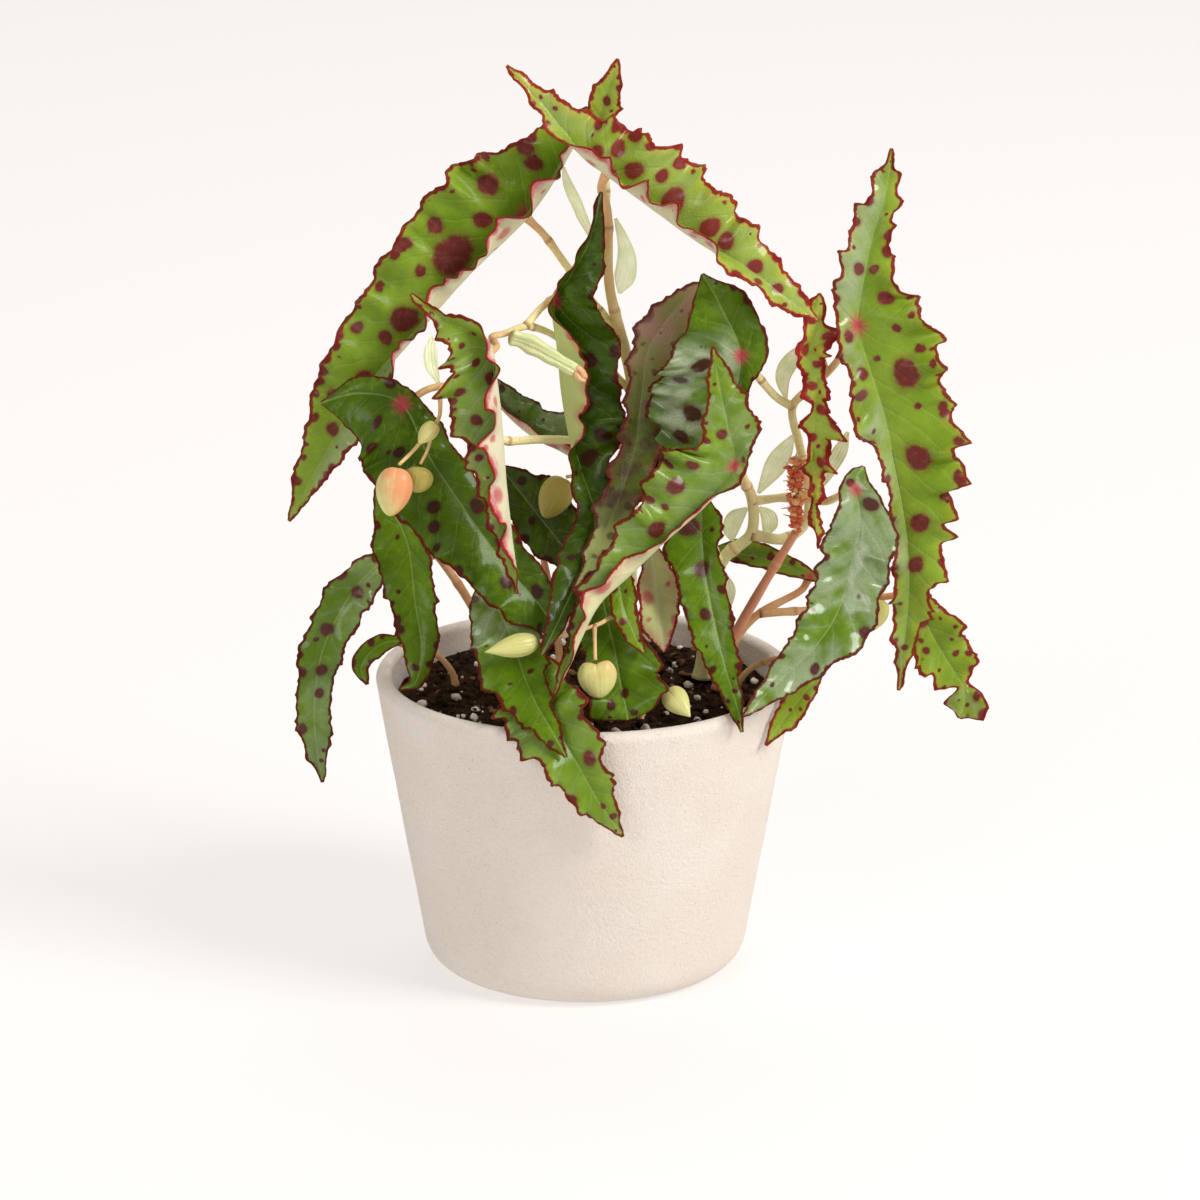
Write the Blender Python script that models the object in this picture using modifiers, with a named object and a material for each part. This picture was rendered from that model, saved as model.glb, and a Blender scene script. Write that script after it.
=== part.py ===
"""A potted begonia: a turned pot, its soil, canes with petioles, long pointed leaves, bracts and buds.

Metres, +Z up. The origin is the centre of the pot's foot, and the plant is shown from its -Y side.
Tables are in millimetres.
"""
import math

import bmesh
import bpy
from mathutils import Vector

MM = 0.001
GAP = 0.3                    # clearance between touching solids

# Pot: a straight tapered wall on a rounded foot, with a rounded lip.
POT_HEIGHT = 94.0
WALL_FOOT_RADIUS = 48.4      # the wall line's radius, carried down to the ground
WALL_SLOPE = 0.1775          # radius gained per millimetre of height
FOOT_FILLET = 10.0
WALL_THICKNESS = 5.0
FLOOR_THICKNESS = 6.0
POT_SIDES = 48
FILLET_STEPS = 3

# Soil
SOIL_HEIGHT = 87.2
SOIL_EDGE_DROP = 1.2
SOIL_EDGE_WIDTH = 7.0

# Leaves. Lifts are angles in degrees between a half of the blade and the plane square to SHOW.
SHOW = Vector((0.0, -0.954, 0.299)).normalized()
BLADE_THICKNESS = 1.1
BRACT_THICKNESS = 0.8
TIP_HALF_WIDTH = 0.5
BLADE_BULGE = 0.22
SEAT_CLEARANCE = 0.6         # between a blade's underside and its petiole
STEPS_PER_ROW = 2
TURN_SHARE = 0.4             # of a petiole's last stretch, where it has turned towards its blade

# Each row is a point on the midrib (x, y, z), then the half width and lift on one side and on the
# other. The first side is on the left where the midrib runs down, and below where it runs to the right.
LEAVES = {
    "leaf_arch_left": [
        (1, 12, 269), (-4, 10, 258, 11, 10, 8, 95), (-16.5, 6, 238.5, 24, 15, 14, 104),
        (-36, 0, 220, 26, 10, 15, 104), (-52.5, -5, 202, 21, 5, 13, 95), (-67, -8, 185.5, 15, 5, 10, 60),
        (-80, -8, 163.5, 8, 5, 5, 20), (-90.5, -6, 143.5)],
    "leaf_arch_top": [
        (-23.5, 2, 284), (-13.5, 0, 273.5, 3, 40, 4, 10), (-0.5, -2, 258, 9, 100, 12, 10),
        (7, -2, 252, 12, 102, 16, 10), (19.5, -4, 243, 13, 105, 19, 10), (35, -8, 232.5, 11, 100, 15, 5),
        (49, -12, 225, 6, 60, 9, 0), (61, -14, 216, 4, 20, 5, 0), (70.5, -14, 209)],
    "leaf_top_small": [
        (3.5, 9, 261), (4.5, 9, 267, 4.5, 15, 4, 15), (6.5, 9, 273.5, 4.8, 15, 4.2, 15),
        (8.5, 8, 279.5, 3, 15, 2.5, 15), (10, 7, 285)],
    "leaf_centre_fold": [
        (5, -4, 246.5), (1.5, -2, 231, 2.5, 100, 5, 20), (-4.5, 0, 219, 4, 95, 10, 20),
        (-9, 0, 211.5, 7, 98, 15, 15), (-7.5, 0, 197, 14, 130, 18.5, 10), (-6, 0, 181.5, 14, 130, 17, 10),
        (-3.5, -2, 167.5, 11, 112, 15.5, 10), (-0.5, -7, 158, 6, 60, 9, 15), (3, -16, 148, 6, 20, 4, 20),
        (1, -29, 139.5, 8, 10, 3.5, 10), (-5, -42, 129.5, 6, 10, 3, 10), (-9.5, -49, 121.5, 3, 10, 2.5, 10),
        (-13, -52, 115)],
    "leaf_centre_gloss": [
        (35.5, -6, 221.5), (41.5, -10, 211.5, 12, 5, 8.5, 10), (47, -13, 199, 23, 5, 8, 15),
        (46, -14, 185.5, 26, 0, 3, 10), (41, -12, 170.5, 22, 0, 4, 10), (33.5, -6, 154.5, 11, 0, 5, 0),
        (25.5, -2, 140.5)],
    "leaf_centre_behind": [
        (36, 4, 216.5), (26.5, 0, 207.5, 6, 0, 6, 0), (19, -3, 196.5, 5, 0, 6, 0),
        (17, -5, 183, 4.5, 10, 4.5, 0), (15, -9, 166.5, 4.5, 10, 4.5, 0), (10.5, -17, 154.5, 4, 10, 4.5, 0),
        (6, -25, 146, 3, 10, 3.5, 10), (1, -33.5, 138.5, 1.8, 10, 2.5, 10), (-3.5, -43, 132)],
    "leaf_front_cross": [
        (38.5, -22, 203), (40.5, -25, 191.5, 3, 20, 5.5, 10), (43, -28, 180, 8, 15, 8, 10),
        (45, -30, 168, 18, 10, 4, 40), (35.5, -33, 157, 18, 10, 5, 100), (24, -37, 147.5, 14, 10, 7, 110),
        (13, -42, 138, 10, 10, 9, 125), (3.5, -47, 130, 6, 10, 9, 130), (-3, -53, 118.5, 3, 20, 5, 120),
        (-9, -58, 105)],
    "leaf_left_dark": [
        (-79.5, -22, 185.5), (-67.5, -24, 189, 14, 10, 5, -20), (-55, -26, 186, 21, 10, 5, -20),
        (-47, -28, 170.5, 20, 15, 8, -10), (-34.5, -31, 152, 16.5, 15, 9.5, 0),
        (-24, -34, 138, 12.5, 20, 8.5, 10),
        (-15, -37, 128, 10, 20, 7, 5), (-7, -39, 117)],
    "leaf_left_hanging": [
        (-62.5, -8, 162.5), (-59, -10, 149.5, 6, 15, 6, 15), (-54, -12, 137.5, 11, 15, 6, 10),
        (-52, -16, 121.5, 8.5, 15, 6.5, 10), (-50, -21, 108.5, 6, 15, 5, 10),
        (-51.5, -26, 98.5, 2.5, 10, 2, 10),
        (-56.5, -28, 96.5)],
    "leaf_far_left": [
        (-57, 8, 130.5), (-66.5, 6, 123.5, 5, 15, 5, 10), (-74, 3, 114.5, 7, 15, 7, 10),
        (-81, 0, 100, 6.5, 15, 6.5, 10), (-83.5, -2, 86, 5.5, 15, 5, 10), (-83.5, -3, 72, 4, 15, 4.5, 10),
        (-81.5, -3, 58)],
    "leaf_rim_curl": [
        (-55.5, -2, 104), (-62.5, -4, 103.5, 3, 20, 3, 20), (-67.5, -6, 99.5, 3.5, 20, 3, 20),
        (-69, -7, 96, 2.5, 20, 2.5, 20), (-67, -8, 91.5)],
    "leaf_front_left": [
        (-31.5, -21, 130.5), (-26.5, -30, 123, 10, 10, 8, 15), (-22, -38, 115.5, 13, 10, 9, 10),
        (-18.5, -47, 107.5, 11.5, 10, 7.5, 10), (-14.5, -57, 101.5, 8, 15, 5, 10),
        (-10, -66.5, 96.5, 4.5, 15, 3, 10),
        (-5.5, -71.5, 89.5)],
    "leaf_front_rim": [
        (-18, -36, 115), (-15, -45, 106.5, 7, 10, 8, 10), (-13, -51, 100.5, 12.5, 10, 11, 10),
        (-9, -62.5, 96.5, 13, 12, 12, 15), (-3, -67.5, 87.5, 10, 15, 9, 15),
        (3.5, -66.5, 75, 6.5, 15, 6, 15),
        (11.5, -63.5, 61.5)],
    "leaf_front_middle": [
        (4.5, -22, 129.5), (6.5, -30, 121, 7, 5, 6, 5), (9, -38, 112.5, 10, 5, 10.5, 5),
        (11, -46, 103.5, 10.5, 5, 12, 5), (12.5, -51, 98, 10.5, 5, 11.5, 5), (13, -53.5, 95)],
    "leaf_front_narrow": [
        (7, -26, 140.5), (10, -32, 132.5, 3.5, 15, 4.5, 15), (12, -37, 125, 4, 15, 4, 15),
        (15, -41, 118, 3, 15, 2, 15), (18, -43, 113)],
    "leaf_pale_under": [
        (18.5, -7, 138.5), (20.5, -12, 131.5, 4, 20, 5, 20), (22, -18, 122, 6, 20, 7, 20),
        (23.5, -23, 114, 5, 20, 4.5, 20), (24, -27, 108)],
    "leaf_right_hanging": [
        (36, -13, 155), (35.5, -15, 147.5, 8, 10, 6, 15), (36, -19, 138, 12, 10, 5, 20),
        (37.5, -24, 127, 9.5, 10, 5.5, 15), (40, -30, 116, 8.5, 10, 5, 10), (43, -37, 105, 5.5, 10, 4, 10),
        (46, -45, 96.5, 3, 10, 2, 10), (47.5, -49.5, 90)],
    "leaf_right_gloss": [
        (84.5, -18, 164.5), (82, -20, 159.5, 4, 15, 5, 10), (83.5, -23, 148.5, 9, 15, 10.5, 10),
        (81, -26, 136.5, 9, 15, 12, 10), (77, -31, 123, 10, 15, 12, 10), (70, -37, 113.5, 8, 15, 8.5, 10),
        (60, -44, 105.5, 5, 15, 6, 10), (47.5, -54, 96.5)],
    "leaf_right_tip": [
        (72.5, -24, 101), (65.5, -28, 93.5, 4, 10, 4, 10), (59.5, -32, 86.5, 3, 10, 3, 10),
        (55, -35.5, 81)],
    "leaf_right_tall": [
        (92.5, 0, 259), (91, -2, 246, 4.5, 20, 3.5, 10), (87, -4, 232.5, 8, 20, 5.5, 10),
        (84, -6, 217.5, 8, 20, 13, 10), (82.5, -8, 206, 7.5, 20, 22, 8), (86, -9, 193.5, 8, 20, 25, 8),
        (90.5, -10, 179.5, 10.5, 20, 22, 8), (94, -11, 164, 4.5, 20, 20, 8), (98, -12, 142, 5, 20, 13, 8),
        (99, -11, 119.5, 5, 20, 7, 8), (96.5, -9, 90)],
    "leaf_far_right": [
        (96, 4, 123), (103.5, 4, 111, 5, 10, 6, 10), (109, 4, 100.5, 7, 10, 9, 10),
        (114.5, 4, 91.5, 7, 10, 5.5, 0), (117, 3, 87.5, 2.5, -20, 2.5, 20), (117.5, 2, 82.5, 7, -30, 8, 30),
        (116, 1, 77.5)],
    "leaf_left_fold": [
        (-52, -30, 221.5), (-40.5, -32, 213.5, 5, 20, 3, 60), (-29.5, -34, 207, 14, 15, 8, 95),
        (-27, -37, 195, 17, 10, 11, 105), (-25.5, -39, 181.5, 13, 10, 12, 120),
        (-24.5, -41, 166.5, 8, 10, 12, 120),
        (-22.5, -43, 147, 4, 20, 7, 118), (-20.5, -44, 132)],
    "leaf_edge_on": [
        (-29, 15, 184), (-24.5, 15, 173.5, 5, 115, 7, -20), (-15.5, 15, 165, 8, 118, 9, -25),
        (-7.5, 16, 160.5, 8, 115, 10, -25), (1.5, 18, 154.5, 6, 100, 7, -20), (9, 20, 148)],
    "leaf_back_dark": [
        (-27, 24, 153), (-20, 24, 143.5, 7, 10, 8, 10), (-13, 23, 134.5, 9, 10, 11, 10),
        (-7, 22, 127, 7, 10, 7, 10), (0, 20, 118)],
    "leaf_crinkled": [
        (71, -6, 215.5), (70.5, -6, 205, 5, 30, 4, 20), (68.5, -5, 197, 5.5, 30, 4.5, 20),
        (70.5, -5, 187.5, 4, 30, 3.5, 20), (70, -5, 175, 3, 30, 6, 20), (69.5, -5, 162.5, 2, 30, 5, 20),
        (70, -6, 148, 2, 30, 2.5, 20), (71.5, -7, 135)],
    "leaf_back_level": [
        (39.5, 14, 128.5), (48, 14, 127, 3.5, 40, 4.5, 0), (59, 13, 124.5, 3.5, 40, 4, 0),
        (68, 12, 121, 2, 40, 2.5, 0), (72.5, 11, 119)],
}

# Bracts: thin papery blades on the canes, in the rows of LEAVES.
BRACTS = {
    "bract_top_cane": [
        (9.3, 5, 236), (12.5, 4, 226, 2.5, 10, 2.5, 10), (12, 4, 218, 3, 10, 3.5, 10),
        (10.5, 3, 213)],
    "bract_top_slim": [
        (5.0, 5, 226.5), (1.5, 6, 231.5, 1.2, 20, 1.2, 20), (-2.5, 7, 240, 1.8, 20, 1.8, 20),
        (-5, 7, 246, 1.5, 20, 1.5, 20), (-6.5, 7, 251.5)],
    "bract_left_high": [
        (-44, -20.5, 191.2), (-46, -19.5, 196, 2, 20, 2, 20), (-46.5, -18.5, 201, 2, 20, 2, 20),
        (-46, -18, 205)],
    "bract_right_node": [
        (61.5, 5.5, 179), (60.5, 5.5, 186, 2.5, 20, 2.5, 20), (64, 6, 192, 2.5, 20, 2.5, 20),
        (68, 6, 196)],
    "bract_right_low": [
        (53.3, 5.5, 149), (58, 4, 158, 3.5, 10, 3, 10), (61.5, 2.5, 164, 2.5, 10, 2.5, 10),
        (63.5, 1.5, 168.5)],
    "bract_right_hanging": [
        (50, 9.6, 143), (46.5, 11, 139.5, 2.6, 10, 2.6, 10), (45, 12, 135, 2.4, 10, 2.4, 10),
        (45.5, 12.5, 131.5)],
    "bract_right_twin": [
        (53.6, 9.8, 143.2), (56.5, 12, 140, 2.4, 10, 2.4, 10), (57, 14, 136, 2.4, 10, 2.4, 10),
        (55.5, 15, 132.5)],
    "bract_far_slim": [
        (71, 3.9, 149.3), (74, 4, 156, 2.2, 10, 2.2, 10), (78, 4, 163, 2.4, 10, 2, 10),
        (80.5, 4, 169)],
    "bract_low_pink": [
        (43.3, 11, 121.5), (44.5, 12, 116.5, 2, 10, 2, 10), (44, 12, 112, 1.8, 10, 1.8, 10),
        (43, 12, 108)],
}

# Canes: each is a list of round shoots grown together. A shoot is its points, its radius at each end,
# and the leaf that it carries, with the place along the midrib (in rows) where it meets the blade.
CANES = {
    "cane_centre": [
        ([(13, 9, 87.9), (14, 9, 130), (15, 9, 167), (14.5, 9, 182), (12, 8, 195), (7.5, 6, 214.5),
          (7, 4, 237)], 2.8, 1.4, "leaf_arch_top", 3.0),
        ([(11, 7.5, 199), (1.5, 8.5, 210), (-5.5, 9, 220), (-12, 8.5, 229.5)],
         1.3, 1.3, "leaf_arch_left", 2.1),
        ([(7, 5, 234), (6.5, 8, 248), (4.5, 11, 258)], 1.0, 0.9, "leaf_top_small", 0.9),
        ([(14.5, 9, 180), (5, 10, 189.5), (-5, 6.5, 196), (-12, 0, 202), (-18, -6, 205), (-24, -12, 204.5),
          (-28, -22, 206)], 1.3, 1.1, "leaf_left_fold", 2.2),
        ([(-18, -6, 205), (-14, -2, 209), (-11.5, 1, 210.5)], 1.2, 1.2, "leaf_centre_fold", 3.0),
        ([(14.5, 9, 178), (19, 9, 190), (26, 6, 203)], 1.4, 1.2, "leaf_centre_behind", 1.2),
        ([(15, 9, 163), (-2, 3, 166.5), (-14, -1, 168), (-26, -8, 170), (-35, -13, 179), (-40, -15, 188),
          (-47, -17, 188.5)], 1.5, 1.2, "leaf_left_dark", 2.0),
        ([(-26, -8, 170), (-27, 4, 170.5), (-26.5, 12, 170.5)], 1.0, 1.0, "leaf_edge_on", 0.9),
        ([(14.5, 9, 150), (4, 12, 153.5), (-5.9, 12.9, 152)], 0.8, 0.6, None, 0),
        ([(14, 9, 132), (12, -6, 136), (11, -20, 135)], 1.1, 0.9, "leaf_front_narrow", 0.6),
        ([(14, 9, 127), (17, 3, 130), (20, -3, 132)], 1.1, 0.9, "leaf_pale_under", 0.8),
        ([(-42, -15.5, 188.5), (-43.5, -22, 190), (-43.5, -31, 184.5), (-45.5, -33, 181), (-51, -36, 175),
          (-55.5, -41.5, 171.8)], 0.8, 0.6, None, 0),
        ([(-45.5, -33, 181), (-47, -35, 175), (-49.3, -37.5, 170.8)], 0.6, 0.5, None, 0),
        ([(14, 9, 123), (13.5, -8, 126), (13.5, -22, 125), (14, -33, 122.5), (8, -36, 122), (3, -41, 121),
          (-8, -44.5, 118.8), (-13.5, -47.5, 118.2)], 1.0, 0.6, None, 0),
        ([(3, -41, 121), (3, -46, 119), (3.2, -50.5, 113.2)], 0.7, 0.6, None, 0),
    ],
    "cane_right": [
        ([(36, 10, 87.9), (38, 10, 105), (42, 9, 125.5), (51, 8, 135), (51.5, 7, 146), (49, 0, 154),
          (47.5, -14, 161)], 2.6, 1.3, "leaf_front_cross", 3.0),
        ([(51, 8, 135), (61.5, 10, 133), (68.5, 12, 138.5), (68.5, 11, 152), (65.5, 8, 165), (63.5, 4, 177),
          (70, 3, 184), (77, 1, 192.5)], 1.9, 1.1, "leaf_right_tall", 4.0),
        ([(63.5, 4, 177), (58, 2, 181), (51, -4, 191)], 1.4, 1.2, "leaf_centre_gloss", 2.1),
        ([(51.5, 7, 146), (61.5, 7.5, 147), (67, 6.5, 146.8), (74, 1, 147.7), (79, -8, 153)], 1.5, 1.2,
         "leaf_right_gloss", 1.2),
        ([(74, 2.5, 188), (72, 1.5, 194)], 0.9, 0.8, "leaf_crinkled", 2.0),
        ([(42, 9, 125.5), (38.5, -2, 136)], 1.2, 1.1, "leaf_right_hanging", 1.6),
    ],
    "petiole_left": [
        ([(-27, 4, 87.9), (-29, 3, 98), (-35, 0, 114.5), (-45.5, -4, 132), (-54, -6, 140)], 1.7, 1.2,
         "leaf_left_hanging", 1.5),
        ([(-45.5, -4, 132), (-51, 6, 127), (-57, 12.5, 124)], 1.1, 1.0, "leaf_far_left", 0.7),
    ],
    "petiole_rim_curl": [
        ([(-40, 2, 87.9), (-41.5, 1.5, 93), (-46, 0.5, 98.5), (-52, -1, 100.5)], 1.1, 0.9,
         "leaf_rim_curl", 0.4),
    ],
    "petiole_front_left": [
        ([(-20, -10, 87.9), (-21.5, -13.5, 103), (-25, -22.5, 115)], 1.4, 1.1, "leaf_front_left", 0.9),
    ],
    "petiole_front_rim": [
        ([(-8, -14, 87.9), (-8.5, -15.5, 93), (-10, -21, 99), (-14, -32, 106)], 1.4, 1.1,
         "leaf_front_rim", 0.5),
    ],
    "petiole_front_middle": [
        ([(3, -8, 87.9), (4, -12, 105), (6, -20, 120)], 1.4, 1.1, "leaf_front_middle", 0.9),
    ],
    "petiole_back": [
        ([(-8, 18, 87.9), (-8.5, 20, 97), (-11, 25, 112), (-15, 28.5, 130)], 1.3, 1.1,
         "leaf_back_dark", 1.5),
    ],
    "petiole_right_tip": [
        ([(46, -6, 87.9), (47, -6.5, 91.5), (52, -10, 98), (61, -15, 102.5), (69, -20, 103)], 1.1, 0.9,
         "leaf_right_tip", 0.4),
    ],
    "petiole_back_level": [
        ([(43, 3, 87.9), (44, 4, 96), (47.5, 5, 103.5), (54, 8, 109.5), (66, 12, 115)], 1.6, 1.2,
         "leaf_back_level", 3.3),
        ([(54, 8, 109.5), (72, 10.5, 110), (88, 11, 113), (97, 9, 115)], 1.1, 1.0, "leaf_far_right", 0.7),
        ([(87, 11, 113), (89.5, 8, 115), (90.8, 5.3, 116)], 0.8, 0.6, None, 0),
    ],
    "stalk_front_rim": [
        ([(17, -32, 87.9), (18, -34, 94), (22, -40, 100), (24.6, -45, 102.6)], 0.9, 0.7, None, 0),
    ],
    "flower_stalk": [
        ([(41, -2, 87.9), (43, -1, 98), (47, 0, 106.5), (55.5, 2, 121.5), (64.8, 1.8, 137.6)], 1.7, 1.1,
         None, 0),
    ],
}

# Buds and seed capsules: where the stalk meets them, their tip, full width and depth, heart notch.
BUDS = {
    "bud_left_pink": ((-56, -42.5, 171), (-58.5, -44, 156.5), 10, 7, 0.1),
    "bud_left_olive": ((-49.4, -38, 170), (-50.5, -38, 162), 7, 5, 0.1),
    "bud_left_small": ((-44.9, -34.3, 182.3), (-49.5, -41.5, 178.5), 4.5, 3.5, 0.1),
    "bud_front_pointed": ((-14.1, -47.9, 118.2), (-30, -53, 116.5), 7.5, 6, 0.05),
    "bud_front_heart": ((3.4, -51, 112), (4.5, -53, 101.5), 10.5, 5.5, 0.3),
    "bud_front_rim": ((24.9, -45.8, 102.2), (31.8, -53, 96), 7.5, 4.5, 0.1),
    "bud_back_olive": ((-6.5, 13, 151.5), (-12.5, 12.5, 139), 9, 6, 0.1),
    "bud_right_lime": ((91, 4, 115), (86, 4, 104), 8, 4, 0.1),
}
CAPSULE = [(-22.8, -15, 204.6), (-16, -15, 202), (-6, -15, 196), (0, -15, 192)]
CAPSULE_RADII = (1.4, 3.4, 3.0, 1.6)

# Flower cluster on the pink stalk
CLUSTER_FOOT = Vector((65.2, 1.5, 138.2))
CLUSTER_TOP = Vector((64.5, -1, 162.5))
CLUSTER_RADIUS = 3.6
CLUSTER_KNOBS = 7

CREAM = (0.80, 0.74, 0.66, 1.0)
DARK_SOIL = (0.045, 0.028, 0.020, 1.0)
LEAF_GREEN = (0.13, 0.27, 0.03, 1.0)
PAPER_GREEN = (0.62, 0.62, 0.36, 1.0)
CANE_TAN = (0.55, 0.40, 0.18, 1.0)
BUD_LIME = (0.72, 0.70, 0.32, 1.0)
CLUSTER_RED = (0.60, 0.13, 0.06, 1.0)


def clear_scene():
    for old in list(bpy.data.objects):
        bpy.data.objects.remove(old, do_unlink=True)


def material(name, colour, roughness, metallic=0.0):
    mat = bpy.data.materials.new(name)
    mat.use_nodes = True
    shader = mat.node_tree.nodes["Principled BSDF"]
    shader.inputs["Base Color"].default_value = colour
    shader.inputs["Roughness"].default_value = roughness
    shader.inputs["Metallic"].default_value = metallic
    return mat


def add_object(name, data, colour, roughness):
    obj = bpy.data.objects.new(name, data)
    obj.data.materials.append(material(name, colour, roughness))
    bpy.data.collections["potted_begonia"].objects.link(obj)
    return obj


def smooth_row(rows, place):
    """Catmull-Rom through rows of equal length; place counts rows from 0."""
    last = len(rows) - 1
    index = min(int(place), last - 1)
    t = place - index
    before, start, end, after = (rows[min(max(index + step, 0), last)] for step in (-1, 0, 1, 2))
    if index == 0:
        before = [2 * a - b for a, b in zip(start, end)]
    if index == last - 1:
        after = [2 * b - a for a, b in zip(start, end)]
    return [0.5 * (2 * b + (c - a) * t + (2 * a - 5 * b + 4 * c - d) * t * t
                   + (3 * b - a - 3 * c + d) * t ** 3)
            for a, b, c, d in zip(before, start, end, after)]


def full_rows(rows):
    """The end rows are bare points: they take a tip's width and their neighbour's lifts."""
    first, last = rows[1], rows[-2]
    start = list(rows[0]) + [TIP_HALF_WIDTH, first[4], TIP_HALF_WIDTH, first[6]]
    end = list(rows[-1]) + [TIP_HALF_WIDTH, last[4], TIP_HALF_WIDTH, last[6]]
    return [start] + [list(row) for row in rows[1:-1]] + [end]


def blade_frame(rows, place):
    """Midrib point, widths and lifts, the side direction and the direction towards SHOW."""
    last = len(rows) - 1
    row = smooth_row(rows, place)
    ahead = Vector(smooth_row(rows, min(place + 0.05, last))[:3])
    behind = Vector(smooth_row(rows, max(place - 0.05, 0))[:3])
    along = (ahead - behind).normalized()
    toward = (SHOW - SHOW.dot(along) * along).normalized()
    side = along.cross(toward)
    return Vector(row[:3]), row[3:], side, toward


def half_directions(side, toward, lift, sign):
    """Outward and upward directions of one half of the blade; sign is 1 for the first half."""
    angle = math.radians(lift)
    outward = sign * math.cos(angle) * side + math.sin(angle) * toward
    upward = -sign * math.sin(angle) * side + math.cos(angle) * toward
    return outward, upward


def blade_point(rows, place, across):
    """A point of the blade; across runs from -1 on the first margin to 1 on the second."""
    rib, (width_a, lift_a, width_b, lift_b), side, toward = blade_frame(rows, place)
    width, lift, sign = (width_a, lift_a, 1) if across < 0 else (width_b, lift_b, -1)
    outward, upward = half_directions(side, toward, lift, sign)
    share = abs(across)
    width = max(width, TIP_HALF_WIDTH)
    return rib + outward * width * share + upward * width * BLADE_BULGE * share * (1 - share)


def blade(name, rows, colour, roughness, thickness, half_steps):
    rows = full_rows(rows)
    steps = STEPS_PER_ROW * (len(rows) - 1)
    mesh = bpy.data.meshes.new(name)
    grid = bmesh.new()
    columns = [step / half_steps for step in range(-half_steps, half_steps + 1)]
    lines = []
    for step in range(steps + 1):
        place = (len(rows) - 1) * step / steps
        lines.append([grid.verts.new(blade_point(rows, place, across) * MM) for across in columns])
    for line, following in zip(lines, lines[1:]):
        for column in range(len(columns) - 1):
            grid.faces.new((line[column], line[column + 1], following[column + 1], following[column]))
    grid.to_mesh(mesh)
    grid.free()
    obj = add_object(name, mesh, colour, roughness)
    shell = obj.modifiers.new("Thickness", "SOLIDIFY")
    shell.thickness = thickness * MM
    shell.offset = 0.0
    mesh.shade_smooth()
    return obj


def under_point(leaf, place, clearance):
    """A point under the midrib, and the direction away from the blade's underside."""
    rows = full_rows(LEAVES[leaf])
    rib, (_, lift_a, _, lift_b), side, toward = blade_frame(rows, place)
    up = half_directions(side, toward, lift_a, 1)[1] + half_directions(side, toward, lift_b, -1)[1]
    under = -up.normalized()
    return rib + under * clearance, under


def shoot_points(points, leaf, place):
    points = [Vector(point) for point in points]
    if leaf:
        seat, under = under_point(leaf, place, BLADE_THICKNESS / 2 + SEAT_CLEARANCE)
        back = points[-1] - seat
        turn = (under + back.normalized()).normalized()
        points += [seat + turn * back.length * TURN_SHARE, seat]
    rows = [tuple(point) for point in points]
    count = 2 * (len(rows) - 1)
    return [Vector(smooth_row(rows, (len(rows) - 1) * step / count)) for step in range(count + 1)]


def tube(name, points, start_radius, end_radius):
    """A round tapered shoot as a closed mesh object."""
    curve = bpy.data.curves.new(name, "CURVE")
    curve.dimensions = "3D"
    curve.bevel_depth = MM
    curve.bevel_resolution = 1
    curve.use_fill_caps = True
    spline = curve.splines.new("POLY")
    spline.points.add(len(points) - 1)
    for index, (knot, point) in enumerate(zip(spline.points, points)):
        knot.co = (*(point * MM), 1.0)
        knot.radius = start_radius + (end_radius - start_radius) * index / (len(points) - 1)
    guide = bpy.data.objects.new(name + "_guide", curve)
    bpy.data.collections["cutters"].objects.link(guide)
    bpy.context.view_layer.update()
    mesh = bpy.data.meshes.new_from_object(guide.evaluated_get(bpy.context.evaluated_depsgraph_get()))
    weld = bmesh.new()
    weld.from_mesh(mesh)
    bmesh.ops.remove_doubles(weld, verts=weld.verts, dist=0.00001)
    weld.to_mesh(mesh)
    weld.free()
    bpy.data.objects.remove(guide, do_unlink=True)
    return mesh


def cane(name, shoots, colour):
    """Joins a cane's shoots into one solid, one boolean union after another."""
    meshes = [tube(f"{name}_{index}", shoot_points(points, leaf, place), start, end)
              for index, (points, start, end, leaf, place) in enumerate(shoots)]
    obj = add_object(name, meshes[0], colour, 0.45)
    for index, mesh in enumerate(meshes[1:], start=1):
        cutter = bpy.data.objects.new(f"{name}_shoot_{index}", mesh)
        bpy.data.collections["cutters"].objects.link(cutter)
        cutter.hide_render = True
        cutter.display_type = "WIRE"
        join = obj.modifiers.new(f"Join {index}", "BOOLEAN")
        join.operation = "UNION"
        join.solver = "EXACT"
        join.object = cutter
    return obj


def bud(name, base, tip, width, depth, notch):
    """A flattened drop: pointed at its tip, with two lobes beside the stalk where notch is above 0."""
    base, tip = Vector(base), Vector(tip)
    length = (tip - base).length
    down = (tip - base).normalized()
    toward = (SHOW - SHOW.dot(down) * down).normalized()
    across = down.cross(toward)
    shape = bmesh.new()
    bmesh.ops.create_uvsphere(shape, u_segments=14, v_segments=9, radius=1.0)
    for vert in shape.verts:
        spread, thick, height = vert.co
        reach = (1 - height) / 2
        narrow = 1 - 0.75 * reach ** 3
        fall = reach * length - notch * length * min(abs(spread) * 1.6, 1.0) * (1 - reach)
        place = (base + down * fall + across * spread * narrow * width / 2
                 + toward * thick * narrow * depth / 2)
        vert.co = place * MM
    mesh = bpy.data.meshes.new(name)
    shape.to_mesh(mesh)
    shape.free()
    mesh.shade_smooth()
    return add_object(name, mesh, BUD_LIME, 0.4)


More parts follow.
